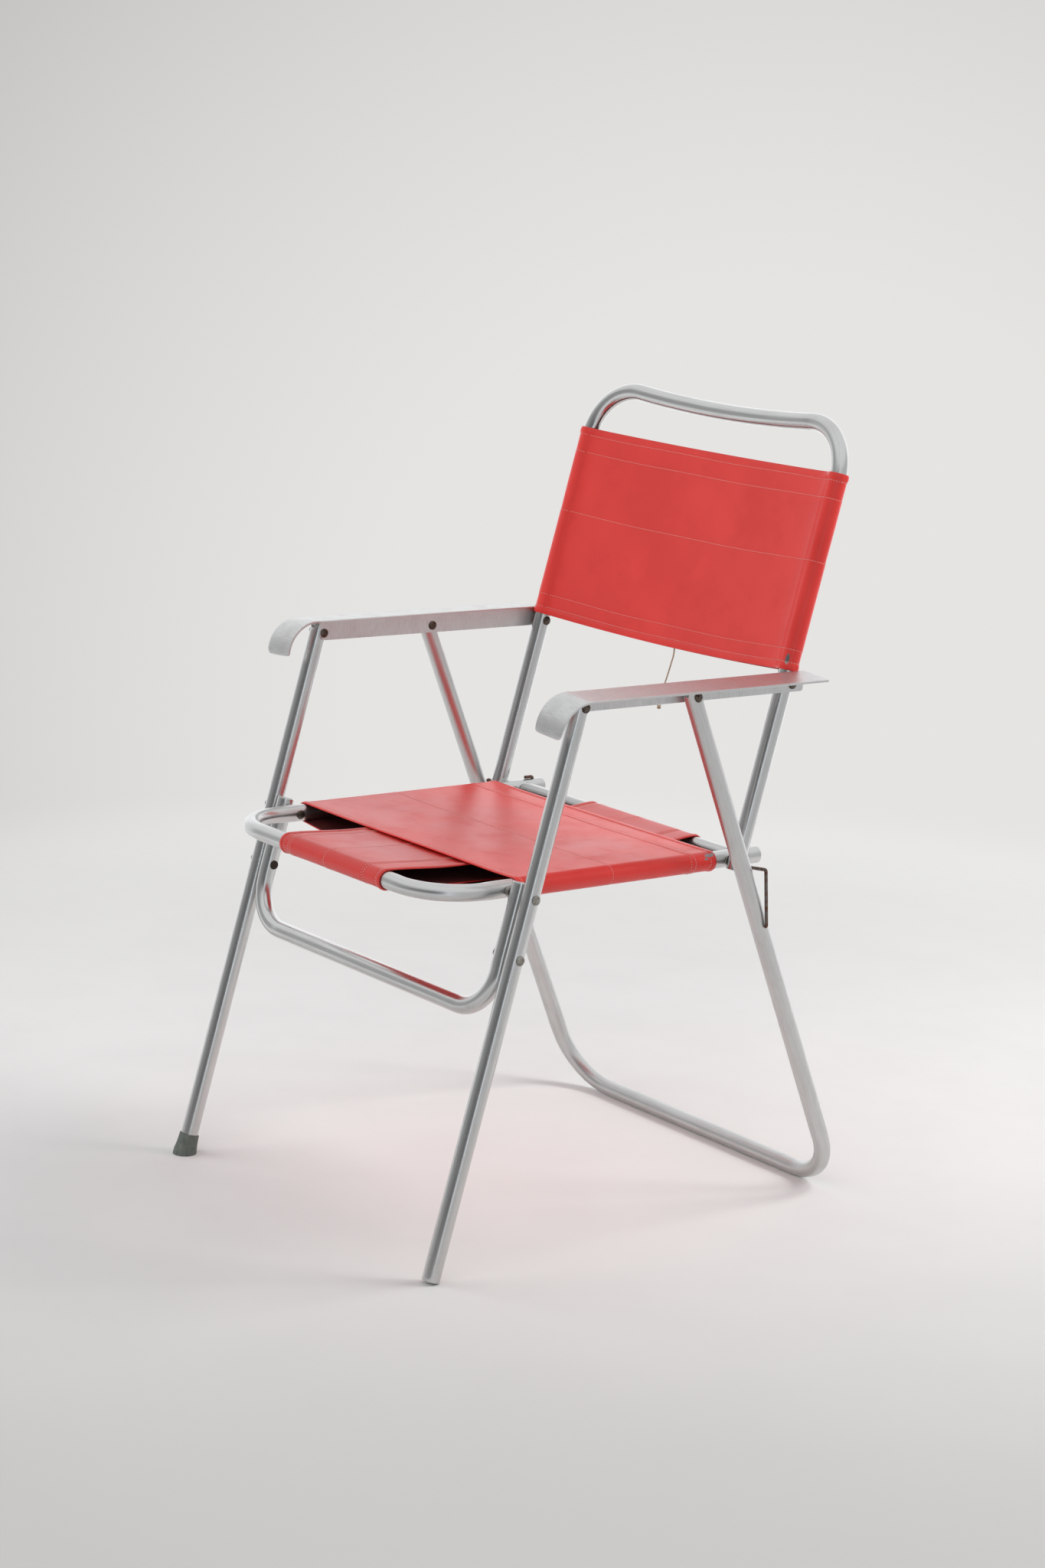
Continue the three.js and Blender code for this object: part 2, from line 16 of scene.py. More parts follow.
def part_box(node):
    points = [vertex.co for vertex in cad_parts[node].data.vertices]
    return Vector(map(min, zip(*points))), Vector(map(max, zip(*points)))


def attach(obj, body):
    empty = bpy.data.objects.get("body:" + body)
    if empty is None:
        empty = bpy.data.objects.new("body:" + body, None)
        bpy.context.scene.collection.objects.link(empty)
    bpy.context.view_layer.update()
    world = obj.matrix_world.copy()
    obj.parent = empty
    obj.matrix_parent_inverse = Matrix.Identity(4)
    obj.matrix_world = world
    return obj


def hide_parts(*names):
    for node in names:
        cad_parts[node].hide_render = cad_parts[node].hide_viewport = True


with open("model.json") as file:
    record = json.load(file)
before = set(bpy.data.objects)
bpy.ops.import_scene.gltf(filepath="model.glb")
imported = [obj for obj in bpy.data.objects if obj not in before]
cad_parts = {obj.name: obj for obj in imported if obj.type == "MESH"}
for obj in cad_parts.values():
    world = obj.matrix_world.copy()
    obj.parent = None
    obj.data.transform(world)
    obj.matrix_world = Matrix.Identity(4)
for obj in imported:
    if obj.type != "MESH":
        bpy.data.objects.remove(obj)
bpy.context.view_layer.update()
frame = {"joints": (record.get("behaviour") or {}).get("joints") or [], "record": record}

MM = 0.001
TURN = 2 * math.pi
QUARTER = math.pi / 2
PIVOTS = {joint["name"]: np.array(joint["pos_m"], float) for joint in frame["joints"]}
BODY_OF = {node: body for body, nodes in frame["record"]["behaviour"]["bodies"].items() for node in nodes}
SIDES = {"left": 1, "right": -1}


def corners_of(node):
    """The lowest and the highest corner of a CAD node."""
    low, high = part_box(node)
    return np.array(low, float), np.array(high, float)


# ---- sizes ----

# Radii of the tubes, outside and inside, and of the crossbar.
TUBE = 10 * MM
BORE = 8.8 * MM
CROSSBAR = 9 * MM
CROSSBAR_BORE = 7.8 * MM
# Rounding of a leg's upper end.
NOSE = TUBE + 0.4 * MM
# Clearance between pieces, and thickness of the vinyl.
GAP = 0.3 * MM
VINYL = 1.2 * MM
# Radius of a sleeve's middle surface round a tube.
ROLL = TUBE + GAP + VINYL / 2

# Pivots, and the lean of the uprights and front legs.
ARM_REAR = PIVOTS["armrest_left_fold"]
SEAT_REAR = PIVOTS["seat_fold"]
SEAT_FRONT = PIVOTS["front_legs_fold"]
ARM_MID = PIVOTS["rear_legs_fold"]
ARM_FRONT_Y = SEAT_FRONT[1] + ARM_REAR[1] - SEAT_REAR[1]
ARM_Z = ARM_REAR[2]
SEAT_Z = SEAT_REAR[2]
LEAN = math.atan2(ARM_REAR[1] - SEAT_REAR[1], ARM_Z - SEAT_Z)
UP = np.array([0, math.sin(LEAN), math.cos(LEAN)])
REARWARD = np.array([0, math.cos(LEAN), -math.sin(LEAN)])
SEAT_DROP = (ARM_Z - SEAT_Z) / math.cos(LEAN)
LEG_LENGTH = ARM_Z / math.cos(LEAN)

# Middles of the tubes.
LEG_X = corners_of("front_leg_left")[1][0] - TUBE
STRETCHER_X = corners_of("front_stretcher")[1][0] - TUBE
BACK_X = corners_of("back_frame")[1][0] - TUBE
SEAT_X = corners_of("seat_frame")[1][0] - TUBE
SEAT_FRONT_Y = corners_of("seat_frame")[0][1] + TUBE
SEAT_REAR_Y = corners_of("seat_frame")[1][1]
REAR_BAR_Y = corners_of("rear_leg_frame")[1][1] - TUBE
CROSSBAR_Y = corners_of("seat_crossbar")[1][1] - CROSSBAR


# ---- camera ----


def add_camera():
    turn, tilt, roll = math.radians(50.970), math.radians(-12.204), math.radians(3.294)
    level = math.cos(tilt)
    look = Vector((-math.sin(turn) * level, math.cos(turn) * level, math.sin(tilt)))
    flat = Vector((math.cos(turn), math.sin(turn), 0))
    steep = flat.cross(look)
    right = flat * math.cos(roll) + steep * math.sin(roll)
    up = steep * math.cos(roll) - flat * math.sin(roll)
    data = bpy.data.cameras.new("camera")
    data.lens = 74.05
    data.sensor_width = 36
    camera = bpy.data.objects.new("camera", data)
    turned = Matrix((right, up, -look)).transposed().to_4x4()
    camera.matrix_world = Matrix.Translation((2.83245, -2.30686, 1.26284)) @ turned
    bpy.context.scene.collection.objects.link(camera)
    bpy.context.scene.camera = camera


# ---- mesh helpers ----


def unit(v):
    return v / np.linalg.norm(v, axis=-1, keepdims=True)


def bell(distance, width):
    """1 at distance 0, falling smoothly on both sides."""
    return np.exp(-((distance / width) ** 2))


def circle(centre, radius, first, second, around):
    """Points of a circle in the plane of two directions."""
    angle = TURN * np.arange(around) / around
    return centre + radius * (np.outer(np.cos(angle), first) + np.outer(np.sin(angle), second))


def ring_faces(rings, around, start=0, joined=False, capped=False):
    """Quads between closed rings of points that are stored ring by ring, from the point start on.

    joined adds quads between the last ring and the first, and capped a face on each of them.
    """
    faces = []
    for i in range(rings if joined else rings - 1):
        here, after = start + i * around, start + (i + 1) % rings * around
        for j in range(around):
            k = (j + 1) % around
            faces.append((here + j, here + k, after + k, after + j))
    if capped:
        last = start + (rings - 1) * around
        faces.append(tuple(range(start, start + around)))
        faces.append(tuple(range(last, last + around)))
    return faces


def make_object(name, points, faces, materials, lay=None, face_materials=None):
    """A smooth mesh. lay holds, for each point, where it would lie on the straight or flat stock."""
    mesh = bpy.data.meshes.new(name)
    mesh.from_pydata([tuple(p) for p in points], [], faces)
    mesh.update()
    if lay is not None:
        layer = mesh.attributes.new("lay", "FLOAT_VECTOR", "POINT")
        layer.data.foreach_set("vector", np.asarray(lay, np.float32).ravel())
    for material in materials:
        mesh.materials.append(material)
    if face_materials is not None:
        mesh.polygons.foreach_set("material_index", np.asarray(face_materials, np.int32))
    mesh.polygons.foreach_set("use_smooth", [True] * len(mesh.polygons))
    work = bmesh.new()
    work.from_mesh(mesh)
    bmesh.ops.recalc_face_normals(work, faces=work.faces)
    work.to_mesh(mesh)
    work.free()
    piece = bpy.data.objects.new(name, mesh)
    bpy.context.scene.collection.objects.link(piece)
    return piece


def ring_solid(name, rings, material, lay=None, joined=False):
    """A piece made of rings of points, closed at both ends, or joined to itself."""
    faces = ring_faces(len(rings), len(rings[0]), joined=joined, capped=not joined)
    return make_object(name, np.concatenate(rings), faces, [material], lay)


def sharpen(piece, degrees):
    """Marks edges sharper than this, so that smooth shading stops at them."""
    work = bmesh.new()
    work.from_mesh(piece.data)
    for edge in work.edges:
        if len(edge.link_faces) == 2 and edge.calc_face_angle(0) > math.radians(degrees):
            edge.smooth = False
    work.to_mesh(piece.data)
    work.free()
    return piece


def stand_for(piece, node):
    """The piece takes the CAD node's place and body."""
    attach(piece, BODY_OF[node])
    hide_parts(node)
    return piece


def goes_on(piece, node):
    """The piece is extra detail on a CAD node's body."""
    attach(piece, BODY_OF[node])
    return piece


def distances(path):
    """How far along the path each of its points is."""
    return np.concatenate([[0], np.cumsum(np.linalg.norm(np.diff(path, axis=0), axis=1))])


def points_at(path, along, at):
    """The path's points at the distances at. along holds distances(path)."""
    return np.stack([np.interp(at, along, path[:, k]) for k in range(3)], axis=-1)


def even(path, step):
    """The path again, with points about step apart."""
    along = distances(path)
    return points_at(path, along, np.linspace(0, along[-1], max(3, int(round(along[-1] / step)) + 1)))


def bend_path(corners, radius, step=4 * MM):
    """A line through corners, with an arc of that radius at each inner one."""
    corners = [np.array(c, float) for c in corners]
    points = [corners[0]]
    for before, here, after in zip(corners, corners[1:], corners[2:]):
        inward, onward = unit(before - here), unit(after - here)
        half = math.acos(np.clip(inward @ onward, -1, 1)) / 2
        centre = here + unit(inward + onward) * radius / math.sin(half)
        start = here + inward * radius / math.tan(half) - centre
        end = here + onward * radius / math.tan(half) - centre
        sweep = math.pi - 2 * half
        steps = max(6, int(math.degrees(sweep) / 3))
        for k in range(steps + 1):
            share = k / steps
            turned = math.sin((1 - share) * sweep) * start + math.sin(share * sweep) * end
            points.append(centre + turned / math.sin(sweep))
    points.append(corners[-1])
    return even(np.array(points), step)


def frames_along(path, side):
    """Tangents and two cross directions at each point, the first as near side as it can be."""
    tangents = unit(np.gradient(path, axis=0))
    cross = np.array(side, float)
    first = []
    for tangent in tangents:
        cross = unit(cross - (cross @ tangent) * tangent)
        first.append(cross)
    first = np.array(first)
    return tangents, first, np.cross(tangents, first)


def number_of(name):
    """A number for each name, the same in every run."""
    return sum((k + 1) * ord(letter) for k, letter in enumerate(name)) % 97


def tube(name, path, material, radius=TUBE, bore=BORE, side=(1, 0, 0), noses=(False, False)):
    """A tube along a path, open at both ends. A nose is an end rounded about an axis along side."""
    around, rim, bore_depth = 40, 0.45 * MM, 45 * MM
    wobble, wobbles_round, wobbles_along = 0.015 * MM, 1.4, 22
    tangents, first, second = frames_along(path, side)
    along = distances(path)
    length = along[-1]
    curl = np.linalg.norm(np.gradient(tangents, axis=0), axis=1) / np.maximum(np.gradient(along), 1e-9)
    angle = np.arange(around) / around * TURN
    cosine, sine = np.cos(angle), np.sin(angle)

    def end_rings(s, inward):
        """Distance along and radius of the rings of one end, from deep in the bore to the outer face."""
        return [
            (s + inward * bore_depth, 0.02 * MM),
            (s + inward * bore_depth, bore),
            (s + inward * rim, bore),
            (s, bore + rim * 0.5),
            (s, radius - rim * 0.6),
            (s + inward * rim * 0.35, radius - rim * 0.15),
            (s + inward * rim, radius),
        ]

    body = [(s, radius) for s in along if 3 * MM < s < length - 3 * MM]
    rings = end_rings(0, 1) + body + end_rings(length, -1)[::-1]
    solid, lay = [], []
    for s, r in rings:
        i = min(len(path) - 1, int(round(s / length * (len(path) - 1))))
        ring_radius = np.full(around, r)
        if r == radius:
            for k in range(around):
                where = Vector((cosine[k] * wobbles_round, sine[k] * wobbles_round, s * wobbles_along))
                ring_radius[k] += wobble * noise.noise(where + Vector((number_of(name), 0, 0)))
        # A bend flattens the tube a little.
        flatten = 1 - min(0.05, curl[i] * radius * 0.3) if min(s, length - s) > 5 * MM else 1
        shift = np.zeros(around)
        for wanted, near, outward in ((noses[0], s, -1), (noses[1], length - s, 1)):
            if wanted and near < rim * 1.01:
                shift = outward * (np.sqrt(np.maximum(NOSE**2 - (r * sine) ** 2, 0)) - NOSE)
        ring = points_at(path, along, s) + np.outer(cosine * ring_radius, first[i])
        ring += np.outer(sine * ring_radius * flatten, second[i]) + np.outer(shift, tangents[i])
        solid.append(ring)
        lay.extend(np.stack([cosine * r, sine * r, np.full(around, s)], axis=1))
    return ring_solid(name, solid, material, lay)


# ---- node helpers ----


class Nodes:
    """Short calls for building the node tree of a new material or world."""

    def __init__(self, name, places=bpy.data.materials, output="ShaderNodeOutputMaterial"):
        self.owner = places.new(name)
        self.owner.use_nodes = True
        self.tree = self.owner.node_tree
        self.tree.nodes.clear()
        self.output = self.add(output)

    def add(self, kind, settings=None, **inputs):
        made = self.tree.nodes.new(kind)
        for key, value in (settings or {}).items():
            setattr(made, key, value)
        for key, value in inputs.items():
            self.put(made.inputs[key.replace("_", " ")], value)
        return made

    def put(self, socket, value):
        if isinstance(value, bpy.types.NodeSocket):
            self.tree.links.new(value, socket)
        else:
            socket.default_value = value

    def lay(self):
        """Where the point would lie on the straight or flat stock."""
        return self.add("ShaderNodeAttribute", {"attribute_name": "lay"}).outputs["Vector"]

    def place(self):
        return self.add("ShaderNodeTexCoord").outputs["Object"]

    def scaled(self, vector, scale, shift=(0, 0, 0)):
        return self.add("ShaderNodeMapping", Vector=vector, Scale=scale, Location=shift).outputs["Vector"]

    def noise(self, vector, scale, detail, roughness):
        settings = {"noise_dimensions": "3D"}
        inputs = {"Vector": vector, "Scale": scale, "Detail": detail, "Roughness": roughness}
        return self.add("ShaderNodeTexNoise", settings, **inputs).outputs["Fac"]

    def ramp(self, value, low, high):
        """0 up to low, 1 from high on, and straight between them."""
        made = self.add("ShaderNodeValToRGB", Fac=value)
        for element, place in zip(made.color_ramp.elements, (low, high)):
            element.position = place
        return made.outputs["Color"]

    def mix(self, share, a, b):
        made = self.add("ShaderNodeMix", {"data_type": "RGBA", "blend_type": "MIX"})
        for socket, value in ((0, share), (6, a), (7, b)):
            self.put(made.inputs[socket], value)
        return made.outputs[2]

    def mixed_shader(self, share, a, b):
        made = self.add("ShaderNodeMixShader")
        for socket, value in enumerate((share, a.outputs[0], b.outputs[0])):
            self.put(made.inputs[socket], value)
        return made.outputs[0]

    def math(self, operation, a, b=0.0, clamp=False):
        made = self.add("ShaderNodeMath", {"operation": operation, "use_clamp": clamp})
        self.put(made.inputs[0], a)
        self.put(made.inputs[1], b)
        return made.outputs[0]

    def times(self, a, b, clamp=False):
        return self.math("MULTIPLY", a, b, clamp)

    def plus(self, a, b, clamp=False):
        return self.math("ADD", a, b, clamp)

    def minus(self, a, b):
        return self.math("SUBTRACT", a, b)

    def dot(self, vector, direction):
        made = self.add("ShaderNodeVectorMath", {"operation": "DOT_PRODUCT"})
        self.put(made.inputs[0], vector)
        self.put(made.inputs[1], direction)
        return made.outputs["Value"]

    def span(self, value, low, high, to_low=0.0, to_high=1.0):
        """A smooth step from to_low up to to_high, as value goes from low to high."""
        made = self.add("ShaderNodeMapRange", {"interpolation_type": "SMOOTHSTEP"}, Value=value)
        limits = {"From Min": low, "From Max": high, "To Min": to_low, "To Max": to_high}
        for key, limit in limits.items():
            self.put(made.inputs[key], limit)
        return made.outputs["Result"]

    def split(self, vector):
        return self.add("ShaderNodeSeparateXYZ", Vector=vector).outputs

    def bump(self, height, distance, strength):
        made = self.add("ShaderNodeBump", Height=height, Distance=distance, Strength=strength)
        return made.outputs["Normal"]

    def surface(self, **inputs):
        shader = self.add("ShaderNodeBsdfPrincipled", **inputs)
        self.put(self.output.inputs["Surface"], shader.outputs[0])
        return self.owner


# ---- materials ----


def aluminium(name, drawn=True, shift=0.0, dull=0.0):
    """Satin aluminium. Drawn tube has fine streaks along it; sheet has a cloudy, scuffed face."""
    dull_tint, dirt, tarnish = (0.56, 0.558, 0.55, 1), (0.17, 0.15, 0.125, 1), (0.50, 0.495, 0.485, 1)
    bright_tint = (0.68, 0.683, 0.68, 1) if drawn else (0.72, 0.72, 0.72, 1)
    smooth, rough = (0.175 + dull, 0.205 + dull) if drawn else (0.40, 0.46)
    n = Nodes(name)
    lay = n.lay()
    streaks = n.noise(n.scaled(lay, (1, 1, 0.012) if drawn else (0.05, 1, 1), (shift, 0, 0)), 1500, 4, 0.6)
    soft = n.noise(n.scaled(lay, (1, 1, 0.05) if drawn else (1, 0.35, 1), (shift, 7, 0)), 260, 3, 0.6)
    clouds = n.noise(n.scaled(lay, (1, 1, 0.6), (shift, 3, 0)), 42, 5, 0.6)
    specks = n.noise(n.scaled(lay, (1, 1, 0.4), (0, shift, 0)), 1100, 3, 0.75)
    patches = n.span(clouds, 0.42, 0.72)
    grime = n.times(n.span(specks, 0.60, 0.72), n.plus(n.times(patches, 0.8), 0.2), clamp=True)
    base = n.mix(n.span(streaks, 0.25, 0.75), dull_tint, bright_tint)
    base = n.mix(n.times(patches, 0.25), base, tarnish)
    base = n.mix(n.times(grime, 0.5), base, dirt)
    roughness = n.plus(n.span(soft, 0.3, 0.75, smooth, rough), n.times(patches, 0.04))
    roughness = n.plus(roughness, n.times(grime, 0.03), clamp=True)
    if not drawn:
        # Hands have polished the curl.
        roughness = n.times(roughness, n.span(n.split(lay)[1], 455 * MM, 490 * MM, 1.0, 0.46))
    height = n.minus(n.times(streaks, 0.5), n.times(grime, 0.4))
    normal = n.bump(height, 0.008 * MM, 0.08)
    return n.surface(Base_Color=base, Metallic=1.0, Roughness=roughness, Normal=normal)


def dull_steel(name, tint, dark, rough=0.45):
    """Rivets, washers and wire: dull steel with darker, rusty patches."""
    soot = (0.05, 0.04, 0.035, 1)
    n = Nodes(name)
    clouds = n.noise(n.place(), 180, 4, 0.65)
    fine = n.noise(n.place(), 1400, 3, 0.6)
    base = n.mix(n.ramp(clouds, 0.4, 0.62), tint, dark)
    base = n.mix(n.times(fine, 0.35), base, soot)
    roughness = n.plus(n.times(clouds, 0.3), rough - 0.1)
    normal = n.bump(fine, 0.05 * MM, 0.4)
    return n.surface(Base_Color=base, Metallic=0.85, Roughness=roughness, Normal=normal)


def vinyl(name, worn=(), shade_tone=1.0):
    """Red coated vinyl with a fine grain.

    worn holds (ring, across, half length, half width) of spots rubbed through to the tube, in metres on the
    flat vinyl.
    """
    # The tone factor darkens every colour at once: painted shade, used for the strap.
    deep, light = (0.70 * shade_tone, 0.027 * shade_tone, 0.021 * shade_tone, 1), (0.79 * shade_tone, 0.037 * shade_tone, 0.029 * shade_tone, 1)
    stain, pale, bare = (0.62, 0.020, 0.016, 1), (0.82, 0.080, 0.065, 1), (0.30, 0.29, 0.29, 1)
    n = Nodes(name)
    lay = n.lay()
    grain = n.add("ShaderNodeTexVoronoi", {"feature": "SMOOTH_F1"}, Vector=lay, Scale=1150.0, Smoothness=0.6)
    fine = n.noise(lay, 2600, 2, 0.5)
    uneven = n.noise(lay, 9, 4, 0.55)
    blotch = n.noise(n.scaled(lay, (1, 1, 1), (4, 2, 0)), 30, 4, 0.6)
    base = n.mix(n.span(uneven, 0.3, 0.7), deep, light)
    base = n.mix(n.times(n.span(blotch, 0.45, 0.8), 0.35), base, stain)
    base = n.mix(n.times(n.span(fine, 0.45, 0.75), 0.34), base, pale)
    roughness = n.plus(n.span(uneven, 0.3, 0.7, 0.30, 0.38), n.span(blotch, 0.4, 0.8, 0.0, 0.07))
    metal = 0.0
    if worn:
        u, v, _ = n.split(lay)
        ragged = n.times(n.minus(n.noise(lay, 500, 3, 0.6), 0.5), 1.1)
        metal = None
        for ring, across, half_length, half_width in worn:
            du = n.math("DIVIDE", n.minus(u, ring), half_length)
            dv = n.math("DIVIDE", n.minus(v, across), half_width)
            away = n.math("SQRT", n.plus(n.times(du, du), n.times(dv, dv)))
            spot = n.span(n.plus(away, ragged), 0.9, 1.1, 1.0, 0.0)
            metal = spot if metal is None else n.math("MAXIMUM", metal, spot)
        base = n.mix(metal, base, bare)
    gloss = {"Roughness": roughness, "Metallic": metal, "Specular_IOR_Level": 0.55}
    normal = n.bump(n.plus(grain.outputs["Distance"], n.times(fine, 0.4)), 0.10 * MM, 0.45)
    return n.surface(Base_Color=base, Normal=normal, **gloss)


def vinyl_backing():
    """The vinyl's inner face: a dull woven backing, its near-black colour painted shade for the inside of the
    sleeves.
    """
    # Painted shade: these near-black colours stand for the shade inside the sleeves, not the backing's own
    # colour.
    dark, light, shade = (0.09, 0.012, 0.011, 1), (0.15, 0.018, 0.016, 1), (0.07, 0.012, 0.01, 1)
    n = Nodes("vinyl_backing")
    u, v, _ = n.split(n.lay())
    threads = TURN / (0.9 * MM)
    weave = n.times(n.math("SINE", n.times(u, threads)), n.math("SINE", n.times(v, threads)))
    base = n.mix(n.span(n.noise(n.lay(), 25, 4, 0.6), 0.35, 0.7), dark, light)
    base = n.mix(n.span(weave, -1.0, 1.0, 0.0, 0.3), base, shade)
    return n.surface(Base_Color=base, Roughness=0.85, Normal=n.bump(weave, 0.08 * MM, 0.6))


def thread():
    n = Nodes("thread")
    base = n.mix(n.noise(n.place(), 240, 3, 0.6), (0.88, 0.52, 0.48, 1), (0.74, 0.24, 0.21, 1))
    normal = n.bump(n.noise(n.place(), 5000, 2, 0.5), 0.05 * MM, 0.5)
    return n.surface(Base_Color=base, Roughness=0.6, Normal=normal)


def rubber():
    n = Nodes("rubber")
    dust = n.noise(n.place(), 120, 5, 0.65)
    base = n.mix(n.ramp(dust, 0.35, 0.7), (0.085, 0.098, 0.085, 1), (0.17, 0.185, 0.165, 1))
    normal = n.bump(n.noise(n.place(), 900, 3, 0.6), 0.1 * MM, 0.5)
    return n.surface(Base_Color=base, Roughness=n.span(dust, 0.3, 0.7, 0.6, 0.85), Normal=normal)


def fibre():
    n = Nodes("fibre")
    strands = n.noise(n.scaled(n.lay(), (1, 1, 0.2)), 3000, 3, 0.6)
    base = n.mix(n.span(strands, 0.3, 0.7), (0.30, 0.22, 0.14, 1), (0.62, 0.54, 0.41, 1))
    return n.surface(Base_Color=base, Roughness=0.9, Normal=n.bump(strands, 0.1 * MM, 0.6))


def grimy_hole():
    # Painted shade: near black with brown mottling, standing in for the dark inside of a hole.
    n = Nodes("grimy_hole")
    base = n.mix(n.noise(n.place(), 800, 3, 0.6), (0.012, 0.009, 0.007, 1), (0.05, 0.035, 0.025, 1))
    return n.surface(Base_Color=base, Roughness=0.8)


METAL = {
    "back": aluminium("aluminium_back", shift=0.0, dull=0.04),
    "seat": aluminium("aluminium_seat", shift=1.7, dull=0.12),
    "front": aluminium("aluminium_front", shift=3.4, dull=0.05),
    "rear": aluminium("aluminium_rear", shift=5.1, dull=0.20),
}
SHEET = aluminium("aluminium_sheet", drawn=False)
RIVET = dull_steel("rivet_steel", (0.15, 0.12, 0.10, 1), (0.05, 0.032, 0.022, 1))
BRIGHT = dull_steel("rivet_bright", (0.44, 0.43, 0.40, 1), (0.25, 0.22, 0.19, 1), 0.38)
WIRE = dull_steel("wire_steel", (0.20, 0.18, 0.16, 1), (0.16, 0.055, 0.03, 1), 0.5)
SHADED_BACKING = vinyl_backing()
THREAD = thread()
RUBBER = rubber()
FIBRE = fibre()
HOLE_SHADE = grimy_hole()


# ---- twine ----

TWINE = 2.2 * MM
# Points from the hem down to the knot, in millimetres.
TWINE_UPPER = [(17.8, 193.4, 627), (17, 194.2, 621), (14.1, 196, 613.5), (9.8, 197.5, 605)]
TWINE_LOWER = [(2.6, 199, 588), (-4.8, 200, 570), (-9.9, 200, 551.5)]


def smooth_through(points, steps):
    """A smooth line through all points."""
    p = [2 * points[0] - points[1], *points, 2 * points[-1] - points[-2]]
    line = []
    for k in range(1, len(p) - 2):
        for t in np.arange(steps) / steps:
            a = 2 * p[k]
            b = (p[k + 1] - p[k - 1]) * t
            c = (2 * p[k - 1] - 5 * p[k] + 4 * p[k + 1] - p[k + 2]) * t**2
            d = (3 * p[k] - p[k - 1] - 3 * p[k + 1] + p[k + 2]) * t**3
            line.append(0.5 * (a + b + c + d))
    line.append(p[-2])
    return np.array(line)


def lay_ring(x, radius, s, around):
    """Where a ring of a strand would lie if the strand were straight."""
    return circle((x, 0, s), radius, (1, 0, 0), (0, 1, 0), around)


def make_knot():
    """One thick strand in a trefoil, inside the CAD knot's box."""
    strand, steps, around = 1.0 * MM, 90, 8
    low, high = corners_of("string_knot")
    centre, reach = (low + high) / 2, (high - low)[0] / 2 - 1.1 * MM
    line = []
    for t in TURN * np.arange(steps) / steps:
        x = math.sin(t) + 2 * math.sin(2 * t)
        y = -math.sin(3 * t)
        z = math.cos(t) - 2 * math.cos(2 * t)
        line.append(centre + reach * np.array([x / 3.1, y / 1.6, z / 3.1]))
    line = np.array(line)
    tangents = unit(np.roll(line, -1, axis=0) - np.roll(line, 1, axis=0))
    outward = unit(line - centre + 1e-6)
    outward = unit(outward - (outward * tangents).sum(1, keepdims=True) * tangents)
    sideways = np.cross(tangents, outward)
    rings, lay = [], []
    for i in range(steps):
        rings.append(circle(line[i], strand, outward[i], sideways[i], around))
        lay.extend(lay_ring(0, strand, i * 0.4 * MM, around))
    return ring_solid("twine_knot", rings, FIBRE, lay, joined=True)


def add_twine():
    """Two strands laid round each other, and the knot at the lower end."""
    strand, around, step, twist = 0.62 * MM, 7, 0.7 * MM, 6 * MM
    route = smooth_through(np.array(TWINE_UPPER + TWINE_LOWER) * MM, 4)
    line = even(route, step)
    length = step * (len(line) - 1)
    _, first, second = frames_along(line, (1, 0, 0))
    points, lay, faces = [], [], []
    for phase in (0, math.pi):
        faces += ring_faces(len(line), around, start=len(points), capped=True)
        for i, centre in enumerate(line):
            turn = phase + TURN * i * step / twist
            away = math.cos(turn) * first[i] + math.sin(turn) * second[i]
            radius = strand * (0.35 if i in (0, len(line) - 1) else 1.0)
            points.extend(circle(centre + (TWINE / 2 - strand) * away, radius, first[i], second[i], around))
            lay.extend(lay_ring(phase * 0.01, strand, length * i / len(line), around))
    twine = stand_for(make_object("twine", points, faces, [FIBRE], lay), "string")
    knot = stand_for(make_knot(), "string_knot")


# ---- tubes ----


def u_path(end, bar, x, radius):
    """Two straights at +-x that run from end to bar, joined by a bar there, with rounded corners."""
    across = np.array([x, 0, 0])
    return bend_path([end - across, bar - across, bar + across, end + across], radius)


def add_back_tube():
    """Two uprights and a top bar that dips and bows rearward in its middle."""
    top, bottom = 303 * MM, -(SEAT_DROP + 9 * MM)
    dip, bow = 12 * MM, 10 * MM
    flat = u_path(np.array([0, 0, bottom]), np.array([0, 0, top]), BACK_X, 70 * MM)
    middle = 1 - (flat[:, 0] / BACK_X) ** 2
    path = np.outer(flat[:, 0], (1, 0, 0)) + np.outer(flat[:, 2] - dip * middle, UP)
    path += np.outer(bow * middle, REARWARD) + (0, ARM_REAR[1], ARM_Z)
    stand_for(tube("back_tube", path, METAL["back"]), "back_frame")


def add_seat_tubes():
    rear, front = np.array([0, SEAT_REAR_Y, SEAT_Z]), np.array([0, SEAT_FRONT_Y, SEAT_Z])
    stand_for(tube("seat_tube", u_path(rear, front, SEAT_X, 65 * MM), METAL["seat"]), "seat_frame")

    end = SEAT_X - TUBE - GAP
    path = even(np.array([(-end, CROSSBAR_Y, SEAT_Z), (end, CROSSBAR_Y, SEAT_Z)]), 4 * MM)
    crossbar = tube("crossbar_tube", path, METAL["seat"], CROSSBAR, CROSSBAR_BORE, side=(0, 0, 1))
    stand_for(crossbar, "seat_crossbar")


def add_front_legs():
    """The right leg ends in its rubber foot, and the left one stands on the rear edge of its bare end."""
    pivot = np.array([0, ARM_FRONT_Y, ARM_Z])
    reaches = {"left": LEG_LENGTH - TUBE * math.tan(LEAN), "right": LEG_LENGTH - 3.3 * MM}
    for side, sign in SIDES.items():
        across = (sign * LEG_X, 0, 0)
        path = even(np.array([pivot - reaches[side] * UP + across, pivot + NOSE * UP + across]), 5 * MM)
        leg = tube(f"front_leg_{side}_tube", path, METAL["front"], noses=(False, True))
        stand_for(leg, f"front_leg_{side}")


def add_stretcher():
    seat_point = np.array([0, SEAT_FRONT[1], SEAT_Z])
    top, bottom = seat_point + 12.8 * MM * UP, seat_point - 135.5 * MM * UP
    path = u_path(top, bottom, STRETCHER_X, 52 * MM)
    stand_for(tube("stretcher_tube", path, METAL["front"]), "front_stretcher")


